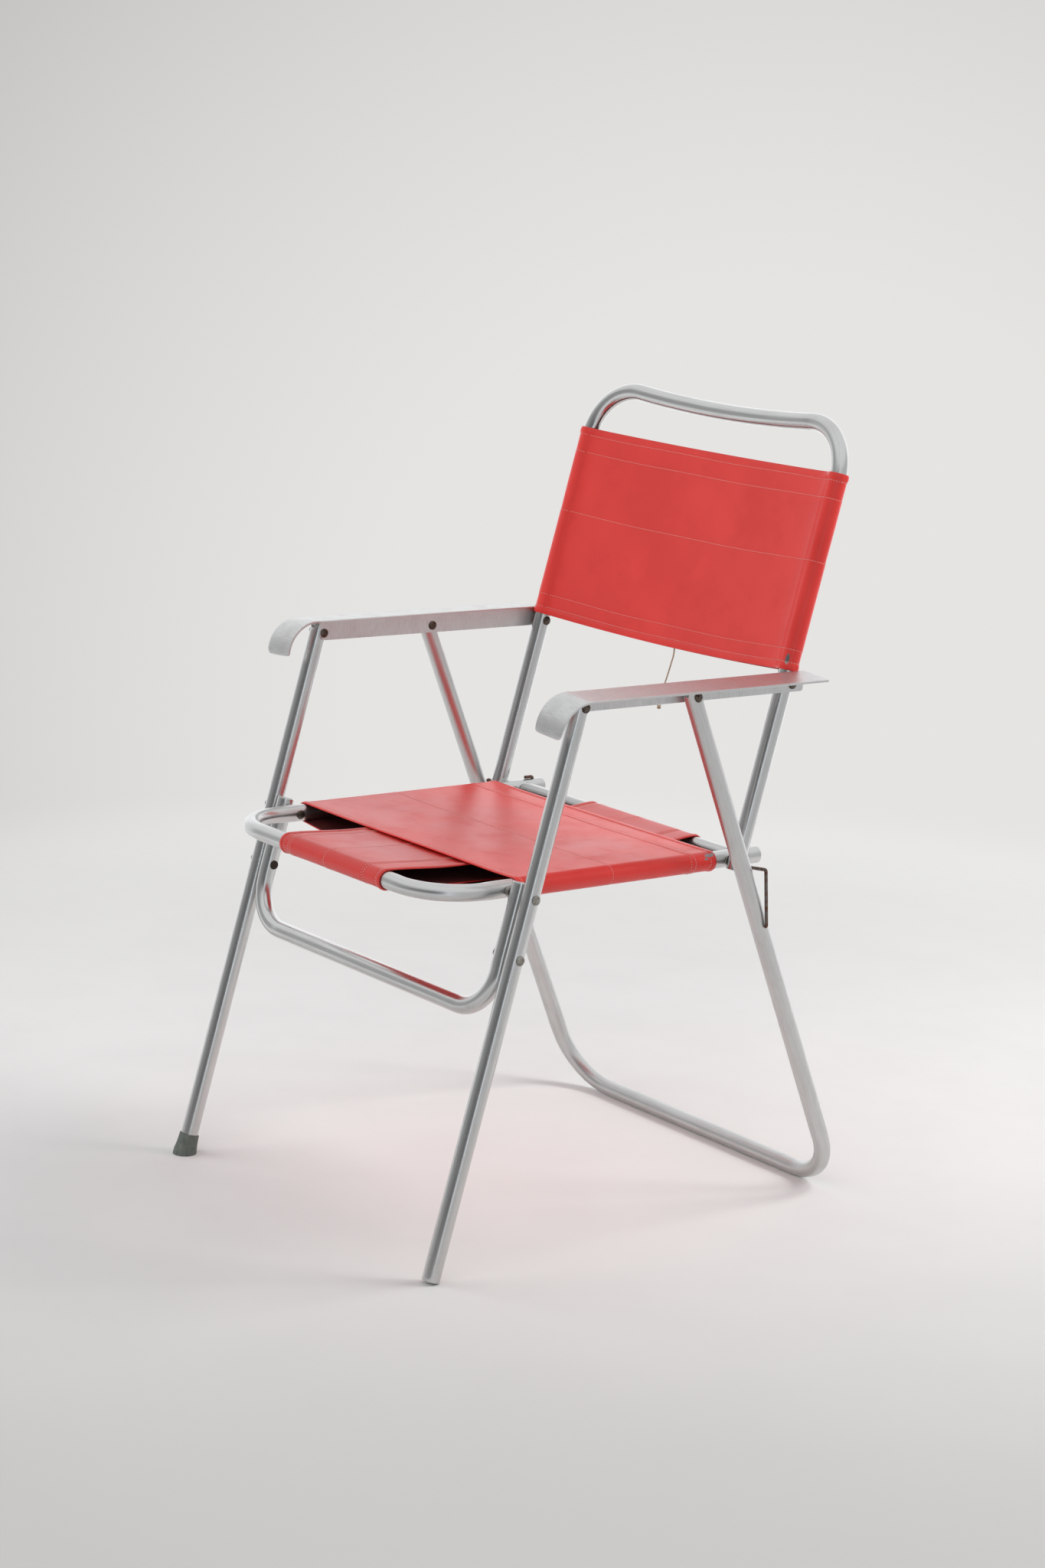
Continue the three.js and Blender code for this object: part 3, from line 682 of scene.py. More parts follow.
def add_rear_legs():
    top = np.array([0, ARM_MID[1], ARM_Z])
    bar = np.array([0, REAR_BAR_Y, TUBE])
    path = u_path(top - NOSE * unit(bar - top), bar, LEG_X, 70 * MM)
    stand_for(tube("rear_leg_tube", path, METAL["rear"], noses=(True, True)), "rear_leg_frame")


# ---- vinyl sleeves ----


class Sleeve:
    """A closed band of vinyl round two tubes.

    outline holds the points of its middle surface in the plane across the tubes. place turns outline
    points and distances across the band into points in the chair. hem is the distance of the hems' seams
    from the edges. seams are (where, lap) across the band, where lap is the step up beyond the seam. fold is
    how far the hems stand out, as a share of their full height. Nothing stands out sideways beyond widest.
    """

    HEM_HEIGHT = 0.95 * MM
    HEM_GROOVE = 0.30 * MM
    SEAM_GROOVE = 0.28 * MM
    STITCH_PITCH = 3.0 * MM
    STITCH_LENGTH = 2.1 * MM
    STITCH_RADIUS = 0.42 * MM

    def __init__(self, name, outline, width, place, seams, hem, fold=1.0, widest=1.0):
        self.name, self.width, self.place = name, width, place
        self.seams, self.hem, self.fold, self.widest = seams, hem, fold, widest
        self.closed = np.vstack([outline, outline[:1]])
        self.ring = distances(self.closed)
        self.length = self.ring[-1]
        self.rows = [hem, *(at for at, _ in seams), width - hem]

    def stations(self):
        """Distances across the band, close together at its edges and seams."""
        marks = {0.0, self.width}
        marks.update((k + 0.5) * 7 * MM for k in range(int(self.width / (7 * MM))))
        for at in self.rows:
            marks.update(at + d * MM for d in (-3, -2, -1.3, -0.8, -0.4, 0, 0.4, 0.8, 1.3, 2, 3))
        for d in (0.25, 0.7, 1.5, 3, 5):
            marks.update((d * MM, self.width - d * MM))
        kept = []
        for mark in sorted(m for m in marks if 0 <= m <= self.width):
            if not kept or mark - kept[-1] > 0.18 * MM:
                kept.append(mark)
        kept[-1] = self.width
        return np.array(kept)

    def middle(self, ring, across):
        """Points of the middle surface. ring and across are arrays of one shape."""
        at = np.mod(ring, self.length)
        return self.place(*(np.interp(at, self.ring, self.closed[:, k]) for k in (0, 1)), across)

    def directions(self, ring, across):
        """The directions out of the surface, round the band and across it."""
        e = 0.6 * MM
        du = self.middle(ring + e, across) - self.middle(ring - e, across)
        dv = self.middle(ring, across + e) - self.middle(ring, across - e)
        return unit(np.cross(du, dv)), unit(du), unit(dv)

    def relief(self, ring, across):
        """How far the outer face stands out: hems, seams and puckers."""
        out = np.zeros_like(across)
        for edge in (across, self.width - across):
            inside = np.clip(edge / self.hem, 0, 1)
            out += self.HEM_HEIGHT * self.fold * np.sin(math.pi * inside) ** 0.8 * (edge < self.hem)
            out -= self.HEM_GROOVE * bell(edge - self.hem, 1.0 * MM)
            pucker = np.sin(TURN * ring / (8.7 * MM)) + 0.7 * np.sin(TURN * ring / (13.1 * MM) + 1)
            out += 0.10 * MM * pucker * bell(edge - self.hem, 3.5 * MM)
        for at, lap in self.seams:
            d = across - at
            out -= self.SEAM_GROOVE * bell(d, 0.9 * MM)
            out += lap * 0.5 * (1 + np.tanh(d / (0.8 * MM))) * np.exp(-np.clip(d, 0, 1) / (14 * MM))
            out += 0.07 * MM * np.sin(TURN * ring / (9.7 * MM) + at * 900) * bell(d, 3.2 * MM)
        return out

    def outer(self, ring, across, lift=0.0):
        """Points of the outer face, or lift above it, and the directions there."""
        n, along, over = self.directions(ring, across)
        points = self.middle(ring, across) + n * (VINYL / 2 + self.relief(ring, across) + lift)[..., None]
        points[..., 0] = np.clip(points[..., 0], -self.widest, self.widest)
        return points, n, along, over

    def build(self, material):
        """The band: its outer face, and its backing inside."""
        inset = 0.35 * MM
        inner = [[inset], np.arange(6 * MM, self.width - 5 * MM, 9 * MM), [self.width - inset]]
        u, v = np.meshgrid(self.ring[:-1], self.stations(), indexing="ij")
        ui, vi = np.meshgrid(self.ring[:-1], np.concatenate(inner), indexing="ij")
        top, n, _, _ = self.outer(u, v)
        bottom = self.middle(ui, vi) - self.directions(ui, vi)[0] * (VINYL / 2)
        # Pull the outer face's first and last columns down to the middle, for a rounded edge.
        for column in (0, -1):
            top[:, column] = self.middle(u[:, column], v[:, column]) + n[:, column] * (VINYL * 0.15)
        points = np.concatenate([top, bottom[:, ::-1]], axis=1)
        top_lay = np.stack([u, v, np.zeros_like(u)], axis=-1)
        bottom_lay = np.stack([ui, vi, np.full_like(ui, 0.05)], axis=-1)
        lay = np.concatenate([top_lay, bottom_lay[:, ::-1]], axis=1)
        rings, around = points.shape[:2]
        faces = ring_faces(rings, around, joined=True)
        inside = [1 if top.shape[1] <= k % around < around - 1 else 0 for k in range(len(faces))]
        points, lay = points.reshape(-1, 3), lay.reshape(-1, 3)
        return make_object(self.name, points, faces, [material, SHADED_BACKING], lay, inside)

    def stitches(self):
        """Short lengths of thread lying in the seams, all the way round."""
        radius, half, around = self.STITCH_RADIUS, self.STITCH_LENGTH / 2, 6
        profile = ((-0.72, 0.8), (0.0, 1.0), (0.72, 0.8))
        points, faces = [], []
        for row, at in enumerate(self.rows):
            ring = (np.arange(int(self.length / self.STITCH_PITCH)) + 0.5 * (row % 2)) * self.STITCH_PITCH
            wander = 0.35 * MM * np.sin(TURN * ring / 0.19 + 7 * row)
            centres, outs, alongs, overs = self.outer(ring, at + wander, radius * 0.6)
            centres[:, 0] = np.clip(centres[:, 0], radius - self.widest, self.widest - radius)
            for centre, out, along, over in zip(centres, outs, alongs, overs):
                start = len(points)
                first, last = start + 1, start + 1 + (len(profile) - 1) * around
                tip_end = last + around
                points.append(centre - along * half - out * radius * 0.8)
                for t, r in profile:
                    rise = out * radius * (0.5 * (1 - t * t) - 0.4)
                    points.extend(circle(centre + along * t * half + rise, radius * r, over, out, around))
                points.append(centre + along * half - out * radius * 0.8)
                faces += [(start, first + k, first + (k + 1) % around) for k in range(around)]
                faces += ring_faces(len(profile), around, start=first)
                faces += [(last + k, tip_end, last + (k + 1) % around) for k in range(around)]
        return make_object(self.name + "_stitching", points, faces, [THREAD])

    def hang(self, node, material):
        """Makes the sleeve and its stitching in a CAD node's place."""
        cover = stand_for(self.build(material), node)
        stitching = goes_on(self.stitches(), node)


FACE_POINTS = 110
# Index of an outline's first point on the left tube.
LEFT_ROLL = FACE_POINTS - 2


def sleeve_outline(half, radius, dip, dip_reach, front_sag, rear_sag):
    """An outline round two tubes at +-half. The face dips beside each tube by dip and sags by front_sag."""
    front_lean = math.atan(dip / dip_reach + 2 * front_sag / half)
    rear_lean = math.atan(2 * rear_sag / half)
    front_end = half - radius * math.sin(front_lean)
    rear_end = half + radius * math.sin(rear_lean)

    x = np.linspace(-front_end, front_end, FACE_POINTS)
    dips = dip * (1 - np.exp((np.abs(x) - front_end) / dip_reach))
    front = dips - radius * math.cos(front_lean) + front_sag * (1 - (x / front_end) ** 2)
    front_line = np.stack([x, front], axis=1)

    # Round the left tube the angle is 0 on the face side and grows outward from there.
    angle = np.linspace(-front_lean, math.pi - rear_lean, 26)
    left_roll = np.stack([half + radius * np.sin(angle), -radius * np.cos(angle)], axis=1)

    x = np.linspace(rear_end, -rear_end, FACE_POINTS)
    rear_line = np.stack([x, radius * math.cos(rear_lean) + rear_sag * (1 - (x / rear_end) ** 2)], axis=1)
    return np.vstack([front_line[1:-1], left_roll, rear_line[1:-1], left_roll[::-1] * (-1, 1)])


def add_back_sling():
    bottom, top = 10.8 * MM, 243 * MM
    width = top - bottom
    outline = sleeve_outline(BACK_X, ROLL, 5.4 * MM, 8 * MM, 11 * MM, 8.5 * MM)
    base = np.array([0, ARM_REAR[1], ARM_Z])

    def place(x, depth, across):
        middle = np.clip(1 - (x / BACK_X) ** 2, 0, 1)
        share = across / width
        droop = (4.7 * (1 - share) + 1 * share) * MM * middle
        skew = 3.2 * MM * (1 - share) * x / BACK_X
        up = bottom + across + skew - droop
        # The face is slacker in the middle than at its hems.
        wave = 0.9 * MM * np.sin(TURN * (x / 0.31 + share * 0.8)) * np.sin(math.pi * share) * middle
        slack = (2.0 * MM * np.sin(math.pi * share) * middle + wave) * np.clip(middle * 2, 0, 1)
        return base + x[..., None] * (1, 0, 0) + up[..., None] * UP + (depth + slack)[..., None] * REARWARD

    seams = [(24 * MM, 0.25 * MM), (width - 104 * MM, -0.3 * MM), (width - 30 * MM, -0.25 * MM)]
    # The armrests' flanges pass close beside it when the chair folds.
    widest = BACK_X + ROLL + VINYL / 2 + 0.05 * MM
    sleeve = Sleeve("back_vinyl", outline, width, place, seams, 9 * MM, widest=widest)
    worn_ring = sleeve.ring[LEFT_ROLL] + ROLL * 1.17
    worn = [(worn_ring, 12 * MM, 2.3 * MM, 6 * MM)]
    sleeve.hang("back_sling", vinyl("vinyl_back", worn))


def add_seat_sling():
    front, rear = -178 * MM, 109 * MM
    width = rear - front
    outline = sleeve_outline(SEAT_X, ROLL, 0.4 * MM, 20 * MM, 0.5 * MM, 10.5 * MM)

    def place(x, depth, across):
        middle = np.clip(1 - (x / SEAT_X) ** 2, 0, 1)
        share = across / width
        on_top = np.clip(-depth / ROLL, 0, 1)
        wave = 0.55 * MM * np.sin(TURN * (x / 0.27 + 0.1)) * np.sin(TURN * (share * 0.9 + 0.08))
        hollow = 0.5 * MM * bell(x + 0.12, 0.06) * bell(share - 0.55, 0.25)
        lift = (wave - hollow) * np.clip(middle * 3, 0, 1) * on_top
        return np.stack([x, front + across, SEAT_Z - depth + lift], axis=-1)

    seams = [(134 * MM, -0.2 * MM), (width - 38 * MM, 0.35 * MM), (width - 31 * MM, -0.35 * MM)]
    sleeve = Sleeve("seat_vinyl", outline, width, place, seams, 8 * MM, fold=0.9)
    worn_ring = sleeve.ring[LEFT_ROLL] + ROLL * 0.75
    worn = [
        (worn_ring, width - 9 * MM, 2.4 * MM, 6.5 * MM),
        (worn_ring + 4 * MM, width - 15 * MM, 1.2 * MM, 2.6 * MM),
    ]
    sleeve.hang("seat_sling", vinyl("vinyl_seat", worn))


def add_seat_strap():
    """The narrow sleeve round the front bar and the crossbar, inside the wide one."""
    rear_radius = CROSSBAR + GAP + VINYL / 2
    right_x, width, skew = -80 * MM, 192 * MM, 0.04
    dip, rise_front, rise_rear = 3.8 * MM, 88 * MM, 36 * MM
    y1, y2 = SEAT_FRONT_Y, CROSSBAR_Y

    def ease(t):
        t = np.clip(t, 0, 1)
        return t * t * (3 - 2 * t)

    def top(y):
        low = ROLL - dip
        z = ROLL + (low - ROLL) * ease((y - y1) / rise_front)
        return z + (rear_radius - low) * ease((y - (y2 - rise_rear)) / rise_rear)

    def bottom(y):
        t = (y - y1) / (y2 - y1)
        return -(ROLL * (1 - t) + rear_radius * t) - 3 * MM * 4 * t * (1 - t)

    y = np.linspace(y1, y2, 120)
    angle = np.linspace(-QUARTER, QUARTER, 26)
    rear_arc = np.stack([y2 + rear_radius * np.cos(angle), rear_radius * np.sin(angle)], axis=1)
    front_arc = np.stack([y1 - ROLL * np.cos(angle), -ROLL * np.sin(angle)], axis=1)
    lower = np.stack([y, bottom(y)], axis=1)
    upper = np.stack([y[::-1], top(y[::-1])], axis=1)
    outline = np.vstack([front_arc, lower[1:-1], rear_arc, upper[1:-1]])

    def place(y, z, across):
        x = right_x + across + skew * (y - y1)
        on_top = np.clip(z / ROLL * 2 - 1, 0, 1)
        open_part = np.clip((y - y1 - 10 * MM) / (25 * MM), 0, 1) * np.clip((y2 - y) / (60 * MM), 0, 1)
        sag = 0.6 * MM * np.sin(math.pi * across / width) * on_top * open_part
        return np.stack([x, y, SEAT_Z + z - sag], axis=-1)

    seams = [(16 * MM, 0.2 * MM), (20 * MM, 0.2 * MM), (86 * MM, 0.2 * MM)]
    seams += [(width - 34 * MM, -0.25 * MM), (width - 30 * MM, -0.2 * MM)]
    sleeve = Sleeve("strap_vinyl", outline, width, place, seams, 7 * MM)
    # Painted shade: the strap gets a darker copy of the same red vinyl.
    sleeve.hang("seat_strap", vinyl("vinyl_strap", shade_tone=0.78))


# ---- armrests ----

ARMREST_THICK = 2.5 * MM
FLANGE_THICK = 2.2 * MM
# The flange's front end, and its lower edge.
FLANGE_FRONT = -142 * MM
FLANGE_BOTTOM = 611.5 * MM


def plate_section(x1, x2, half, bend):
    """The sheet's section as (x, height), from the inner edge over the top. bend rounds the inner edge."""
    edge = 0.5 * MM
    section = [(x1, -half + edge)]
    for a in QUARTER * np.arange(5) / 4:
        section.append((x1 + bend - bend * math.cos(a), half - bend + bend * math.sin(a)))
    for k in range(1, 12):
        section.append((x1 + (x2 - x1) * k / 12, half))
    for a in QUARTER * np.arange(4) / 3:
        section.append((x2 - edge + edge * math.sin(a), half - edge + edge * math.cos(a)))
    return section + [(x2, -half + edge), (x2 - edge, -half), (x1 + edge, -half)]


def armrest_plate(inner_x, front_y, rear_y, top_z):
    """The rings of the sheet that is bent down in front in a curl, with their places on the flat sheet."""
    width, curl_radius = 45.8 * MM, 40 * MM
    # The plate tips outward about its inner edge.
    fall = math.radians(4)
    curl_start = front_y + curl_radius
    radius = curl_radius - ARMREST_THICK / 2

    # Middle of the sheet, from the rear end forward and round the curl.
    path = [(0, y, top_z - ARMREST_THICK / 2) for y in np.linspace(rear_y, curl_start, 60)]
    for a in np.linspace(0, QUARTER, 30)[1:]:
        path.append((0, curl_start - radius * math.sin(a), top_z - curl_radius + radius * math.cos(a)))
    path = np.array(path)
    along = distances(path)
    length = along[-1]
    near_ends = np.array((0.0, 0.4, 1.0, 1.8, 3.0, 4.6, 6.5, 8.6)) * MM
    stations = np.unique(np.concatenate([along, near_ends, length - near_ends]))
    path = points_at(path, along, stations)
    ups = np.cross(unit(np.gradient(path, axis=0)), (1, 0, 0))

    rings, lay = [], []
    for s, middle, up in zip(stations, path, ups):
        to_end = min(s, length - s)
        corner = 8 * MM if s > length / 2 else 3 * MM
        narrow = corner - math.sqrt(max(corner**2 - max(corner - to_end, 0) ** 2, 0))
        thin = 1 - 0.5 * max(0, 1 - to_end / (0.5 * MM))
        bend = 2.0 * MM if middle[1] > FLANGE_FRONT else 0.5 * MM
        section = plate_section(inner_x + narrow, inner_x + width - narrow, ARMREST_THICK / 2 * thin, bend)
        ring = []
        for x, lift in section:
            flat = middle + up * lift + (x - inner_x, 0, -top_z)
            tipped_x = flat[0] * math.cos(fall) + flat[2] * math.sin(fall)
            tipped_z = flat[2] * math.cos(fall) - flat[0] * math.sin(fall)
            ring.append((inner_x + max(tipped_x, 0), flat[1], top_z + tipped_z))
            lay.append((x, s, lift))
        rings.append(ring)
    return rings, lay


def armrest_flange(inner_x, rear_y, top_z):
    """The rings of a flat strip with rounded lower corners, and their places on the flat sheet."""
    front_round, rear_round, bevel = 9 * MM, 3 * MM, 0.35 * MM
    flange_top = top_z - ARMREST_THICK * 0.6
    outline = [(rear_y, flange_top), (FLANGE_FRONT, flange_top)]
    for a in math.pi + QUARTER * np.arange(9) / 8:
        y = FLANGE_FRONT + front_round * (1 + math.cos(a))
        outline.append((y, FLANGE_BOTTOM + front_round * (1 + math.sin(a))))
    for a in QUARTER * np.arange(5) / 4 - QUARTER:
        y = rear_y - rear_round * (1 - math.cos(a))
        outline.append((y, FLANGE_BOTTOM + rear_round * (1 + math.sin(a))))
    outline = np.array(outline)
    inward = unit(outline.mean(axis=0) - outline)
    rings, lay = [], []
    for x, shrink in ((0.0, bevel), (bevel, 0.0), (FLANGE_THICK - bevel, 0.0), (FLANGE_THICK, bevel)):
        rings.append([(inner_x + x, y, z) for y, z in outline + inward * shrink])
        lay += [(z - FLANGE_BOTTOM + 0.06, rear_y - y, x) for y, z in outline]
    return rings, lay


def add_armrest(side, sign):
    """A plate with a curl in front, and a flange along its inner edge."""
    low, high = corners_of(f"armrest_{side}")
    inner_x = low[0] if sign > 0 else -high[0]
    points, lay, faces = [], [], []
    plate = armrest_plate(inner_x, low[1], high[1], high[2])
    flange = armrest_flange(inner_x, high[1], high[2])
    for rings, places in (plate, flange):
        faces += ring_faces(len(rings), len(rings[0]), start=len(points), capped=True)
        points += [(sign * x, y, z) for ring in rings for x, y, z in ring]
        lay += places
    piece = make_object(f"armrest_{side}_sheet", points, faces, [SHEET], lay)
    stand_for(sharpen(piece, 35), f"armrest_{side}")


# ---- fasteners, wires and the foot ----


def lathe_x(name, profile, middle, material, joined=False):
    """A turned piece about an axis along X through middle. profile holds (x, radius).

    It starts and ends near the axis, or is joined to itself round a bore.
    """
    rings = [circle((x, middle[1], middle[2]), r, (0, 1, 0), (0, 0, 1), 32) for x, r in profile]
    return sharpen(ring_solid(name, rings, material, joined=joined), 40)


def rivet_profile(x1, x2, height):
    """A shank with a domed head on each end. The heads' flat sides are at x1 and x2."""
    head, shank, rim, tiny = 5.4 * MM, 2.6 * MM, 0.25 * MM, 0.05 * MM
    dome = []
    for a in QUARTER * np.arange(9) / 8:
        radius = head * math.sin(a) * (1 - 0.03 * math.cos(a))
        dome.append((rim + height * math.cos(a) * 0.88, max(tiny, radius)))
    first = [(x1 - h, r) for h, r in dome] + [(x1, head - rim)]
    last = [(x2, head - rim)] + [(x2 + h, r) for h, r in dome[::-1]]
    return first + [(x1, shank), (x2, shank)] + last


def washer_profile(x1, x2, outer):
    bevel, bore = 0.25 * MM, 3.1 * MM
    left_face = [(x2 - bevel, outer), (x2, outer - bevel), (x2, bore)]
    return [(x1, bore), (x1, outer - bevel), (x1 + bevel, outer)] + left_face


def add_fasteners():
    rivets = dict.fromkeys(("arm_front_rivet", "arm_mid_rivet", "arm_rear_rivet"), RIVET)
    rivets.update(dict.fromkeys(("seat_front_bolt", "stretcher_rivet", "seat_rear_rivet"), BRIGHT))
    # The right front bolt is dirtier than the left one. The right stretcher rivet is painted near black, as
    # the shade of a hole.
    dirt_and_shade = {"seat_front_bolt_right": RIVET, "stretcher_rivet_right": HOLE_SHADE}
    height = 2.2 * MM
    for kind, material in rivets.items():
        for side in SIDES:
            node = f"{kind}_{side}"
            low, high = corners_of(node)
            profile = rivet_profile(low[0] + height, high[0] - height, height)
            look = dirt_and_shade.get(node, material)
            stand_for(lathe_x(node + "_turned", profile, (low + high) / 2, look), node)
    for kind in ("arm_rear_washer", "seat_front_spacer", "seat_rear_washer"):
        for side in SIDES:
            node = f"{kind}_{side}"
            low, high = corners_of(node)
            profile = washer_profile(low[0], high[0], (high - low)[2] / 2)
            stand_for(lathe_x(node + "_turned", profile, (low + high) / 2, BRIGHT, joined=True), node)


def round_bar(name, path, radius, material):
    """A solid wire along a path, with rounded ends."""
    last = len(path) - 1
    tangents, first, second = frames_along(path, (0, 1, 0.1))
    # Depth from the tip and radius of the end's rings, as shares of the wire's radius.
    ends = [(0.0, 0.25), (0.3, 0.75), (0.7, 0.96)]
    rings = [(0, depth, share) for depth, share in ends]
    rings += [(i, 0.0, 1.0) for i in range(1, last)]
    rings += [(last, -depth, share) for depth, share in ends[::-1]]
    solid = []
    for i, depth, share in rings:
        centre = path[i] + depth * radius * tangents[i]
        solid.append(circle(centre, radius * share, first[i], second[i], 14))
    return ring_solid(name, solid, material)


def add_lock_wires():
    """Each wire hooks over its rail, passes down through it, and reaches the outer side of the rear leg."""
    wire, hook, below, bend = 2 * MM, 13 * MM, 13 * MM, 2.4 * MM
    wire_y = PIVOTS["lock_wire_left_swivel"][1]
    over_rail = SEAT_Z + TUBE + wire + GAP
    tip_x = LEG_X + TUBE + GAP
    leg_x = tip_x + bend + GAP
    tip_z = corners_of("lock_wire_left")[0][2] + wire
    down = unit(np.array([REAR_BAR_Y, TUBE]) - ARM_MID[1:])
    leg_y = ARM_MID[1] - (ARM_Z - tip_z) * down[0] / down[1]
    under_rail = np.array([SEAT_X, wire_y, SEAT_Z - below])
    corners = [
        (SEAT_X, wire_y - hook, over_rail),
        (SEAT_X, wire_y, over_rail),
        under_rail,
        under_rail + (24 * MM, -12 * MM, 5 * MM),
        (leg_x, wire_y - 24 * MM, under_rail[2] + 12 * MM),
        (leg_x, leg_y, tip_z),
        (tip_x, leg_y, tip_z),
    ]
    path = bend_path(corners, bend, 1.2 * MM)
    for side, sign in SIDES.items():
        bar = round_bar(f"lock_wire_{side}_bar", path * (sign, 1, 1), wire, WIRE)
        stand_for(bar, f"lock_wire_{side}")


def add_foot_cap():
    """A flared rubber cap, worn level on the floor."""
    foot = np.array([-LEG_X, ARM_FRONT_Y, ARM_Z]) - LEG_LENGTH * UP
    inner, sole, height, tiny = TUBE + GAP, 3 * MM, 24 * MM, 0.1 * MM
    top, bottom = 11.6 * MM, 13.8 * MM
    # Height along the leg, and radius.
    profile = [(-7 * MM, tiny), (-7 * MM, bottom), (3 * MM, bottom)]
    profile += [(5 * MM, bottom - 0.2 * MM), (7 * MM, bottom - 0.7 * MM)]
    profile += [(12 * MM, top + 0.85 * MM), (17 * MM, top + 0.35 * MM), (21 * MM, top + 0.1 * MM)]
    profile += [(height - 0.6 * MM, top), (height - 0.15 * MM, top - 0.25 * MM), (height, top - 0.7 * MM)]
    profile += [(height, inner), (sole, inner), (sole, tiny)]
    rings = []
    for level, radius in profile:
        ring = circle(foot + level * UP, radius, (1, 0, 0), REARWARD, 48)
        rings.append(ring + np.outer(np.maximum(0, 0.02 * MM - ring[:, 2]), UP / UP[2]))
    stand_for(sharpen(ring_solid("foot_cap_rubber", rings, RUBBER), 50), "foot_cap_right")


# ---- stage and light ----


def add_stage():
    """A pale floor, painted darker towards the camera as shade, that fades into the background further out.
    """
    pale, falloff_shade, scuff = (0.91, 0.908, 0.904, 1), (0.60, 0.592, 0.586, 1), (0.45, 0.42, 0.40, 1)
    bpy.ops.mesh.primitive_circle_add(vertices=96, radius=3, fill_type="NGON", location=(0.1, 0.3, 0))
    floor = bpy.context.object
    floor.name = "floor"
    n = Nodes("floor")
    where = n.place()
    distance = n.add("ShaderNodeVectorMath", {"operation": "LENGTH"})
    n.put(distance.inputs[0], where)
    far = n.span(distance.outputs["Value"], 0.75, 2.1)
    marks = n.noise(where, 6, 6, 0.6)
    scuffs = n.noise(n.scaled(where, (1, 2.5, 1)), 38, 4, 0.7)
    base = n.mix(n.span(marks, 0.35, 0.7), pale, tuple(c * 0.975 for c in pale[:3]) + (1,))
    base = n.mix(n.span(scuffs, 0.62, 0.75, 0.0, 0.05), base, scuff)
    # Painted shade: the floor grows darker towards the camera side, in place of light falling off there.
    base = n.mix(n.span(n.dot(where, (0.76, -0.65, 0.0)), -0.2, 1.3, 0.0, 0.92), base, falloff_shade)
    near = n.add("ShaderNodeBsdfPrincipled", Base_Color=base, Roughness=0.7, Specular_IOR_Level=0.2)
    clear = n.add("ShaderNodeBsdfTransparent")
    n.put(n.output.inputs["Surface"], n.mixed_shader(far, near, clear))
    floor.data.materials.append(n.owner)


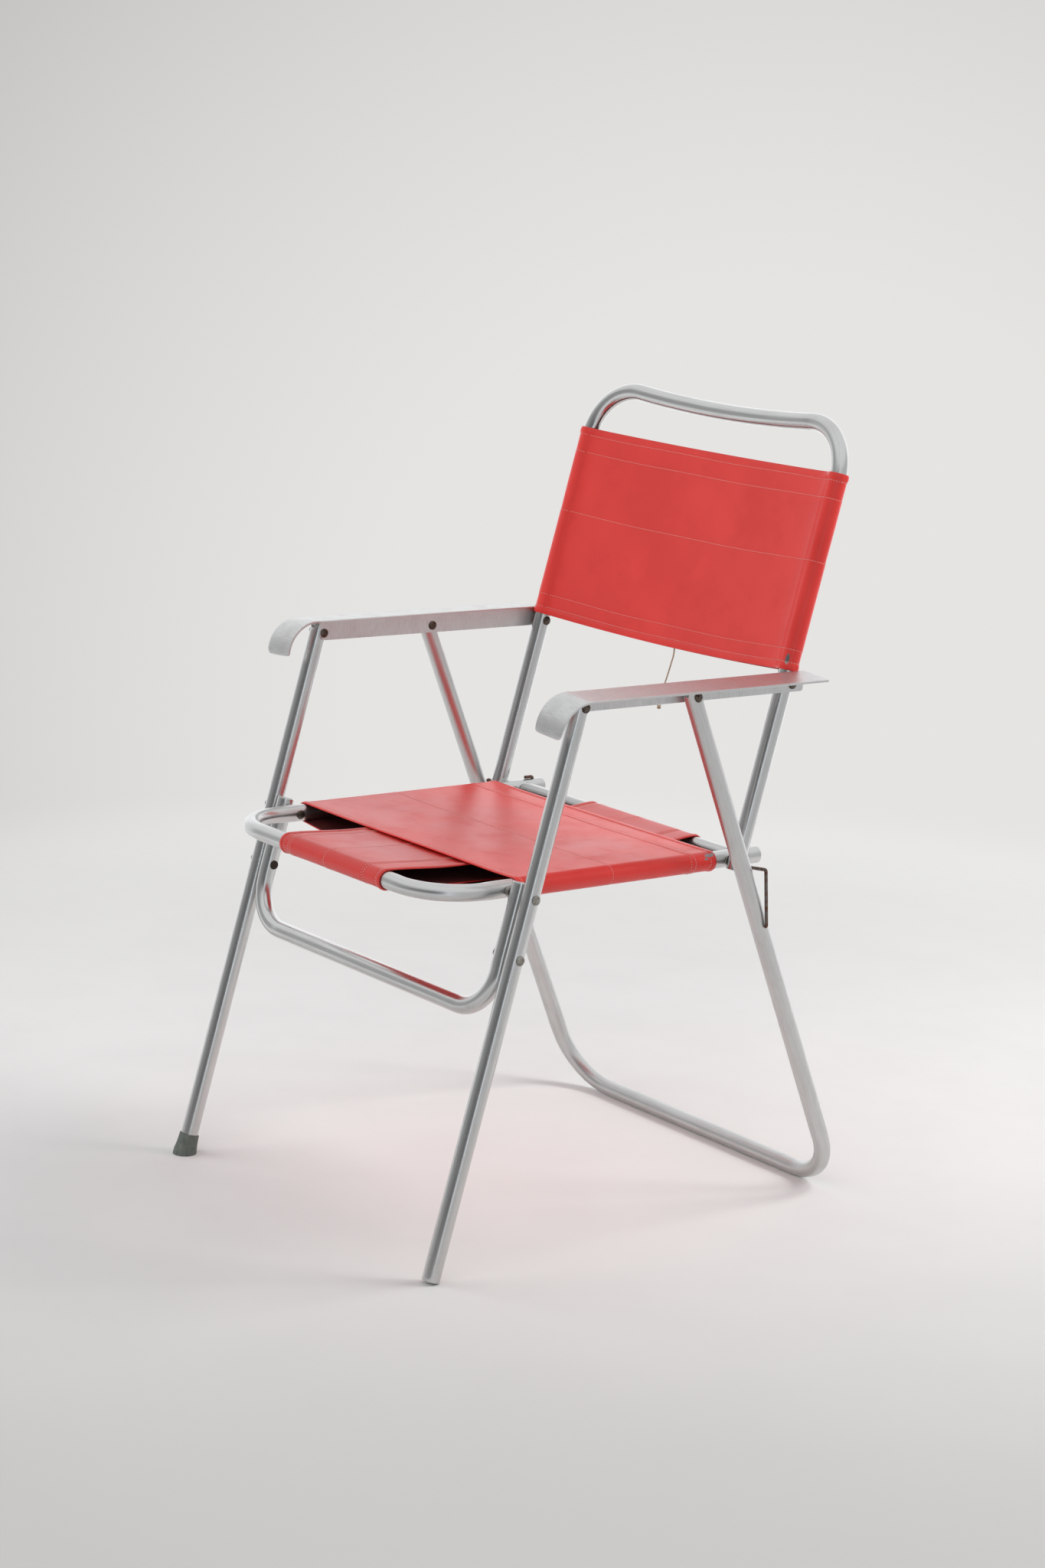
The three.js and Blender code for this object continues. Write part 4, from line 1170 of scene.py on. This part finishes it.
def add_world():
    """Pale walls with a dark stretch in front of the chair and a narrow window beside it."""
    backdrop, daylight, wall = (0.783, 0.776, 0.760, 1), (0.72, 0.86, 1.0, 1), (0.98, 0.99, 1.0, 1)
    n = Nodes("studio", bpy.data.worlds, "ShaderNodeOutputWorld")
    bpy.context.scene.world = n.owner
    direction = n.add("ShaderNodeTexCoord").outputs["Generated"]
    x, y, z = n.split(direction)
    turn = n.math("ARCTAN2", y, x)
    rays = n.add("ShaderNodeLightPath").outputs

    def between(low, high, soft):
        """1 where the azimuth is between two angles in degrees, with soft edges."""
        low, high, soft = (math.radians(v) for v in (low, high, soft))
        return n.times(n.span(turn, low - soft, low + soft), n.span(turn, high - soft, high + soft, 1.0, 0.0))

    low_down = n.span(z, 0.30, 0.65, 1.0, 0.0)
    deepening = n.span(turn, math.radians(-150), math.radians(-50), 0.62, 1.0)
    dark = n.times(n.times(between(-150, -40, 7), n.times(low_down, deepening)), n.span(z, -0.32, -0.08))
    right = n.times(between(-34, 75, 9), low_down)
    window = n.times(between(-37, -32.5, 1.5), low_down)
    behind = n.times(between(90, 172, 12), low_down)
    darkest = n.minus(0.80, n.times(rays["Is Diffuse Ray"], 0.45))
    strength = n.minus(n.minus(0.93, n.times(dark, darkest)), n.times(right, 0.30))
    strength = n.plus(strength, n.times(behind, 0.42))
    held_back = n.span(z, 0.15, 0.6, 0.42, 0.62)
    strength = n.times(strength, n.minus(1.0, n.times(rays["Is Diffuse Ray"], held_back)))
    cast = n.add("ShaderNodeBackground", Color=wall, Strength=strength)
    pane = n.add("ShaderNodeBackground", Color=daylight, Strength=n.times(window, 1.2))
    lit = n.add("ShaderNodeAddShader")
    n.put(lit.inputs[0], cast.outputs[0])
    n.put(lit.inputs[1], pane.outputs[0])

    # The background itself, darker away from the chair.
    falloff = n.times(n.minus(0.9923, n.dot(direction, (-0.714, 0.676, -0.183))), 6.8)
    level = n.minus(1.0, n.math("MINIMUM", n.math("MAXIMUM", falloff, 0.0), 0.32))
    seen = n.add("ShaderNodeBackground", Color=backdrop, Strength=level)
    n.put(n.output.inputs["Surface"], n.mixed_shader(rays["Is Camera Ray"], lit, seen))


def add_light(name, turn, height, distance, size, power, colour):
    """A soft lamp aimed at the chair from an azimuth and an elevation in degrees. size is width, height."""
    data = bpy.data.lights.new(name, "AREA")
    data.shape = "RECTANGLE"
    data.size, data.size_y = size
    data.energy = power
    data.color = colour
    turn, height = math.radians(turn), math.radians(height)
    level = math.cos(height)
    away = Vector((math.cos(turn) * level, math.sin(turn) * level, math.sin(height)))
    lamp = bpy.data.objects.new(name, data)
    lamp.location = Vector((0, 0, 0.45)) + away * distance
    lamp.rotation_mode = "QUATERNION"
    lamp.rotation_quaternion = away.to_track_quat("Z", "Y")
    lamp.visible_glossy = False
    bpy.context.scene.collection.objects.link(lamp)


def add_lights():
    add_light("left", -131, 18, 3.0, (2.4, 2.0), 33, (1.0, 0.99, 0.975))
    add_light("front", -60, 27, 3.2, (3.0, 2.4), 23, (1.0, 0.99, 0.98))
    add_light("right", 50, 26, 3.0, (0.8, 1.2), 26, (1.0, 0.99, 0.98))
    add_light("right_rear", 68, 44, 3.0, (0.9, 0.9), 26, (1.0, 0.99, 0.97))


# ---- the scene ----

bpy.context.scene.view_settings.view_transform = "Standard"
add_camera()
add_twine()
add_back_tube()
add_seat_tubes()
add_front_legs()
add_stretcher()
add_rear_legs()
add_back_sling()
add_seat_sling()
add_seat_strap()
for arm_side, arm_sign in SIDES.items():
    add_armrest(arm_side, arm_sign)
add_fasteners()
add_lock_wires()
add_foot_cap()
add_stage()
add_world()
add_lights()
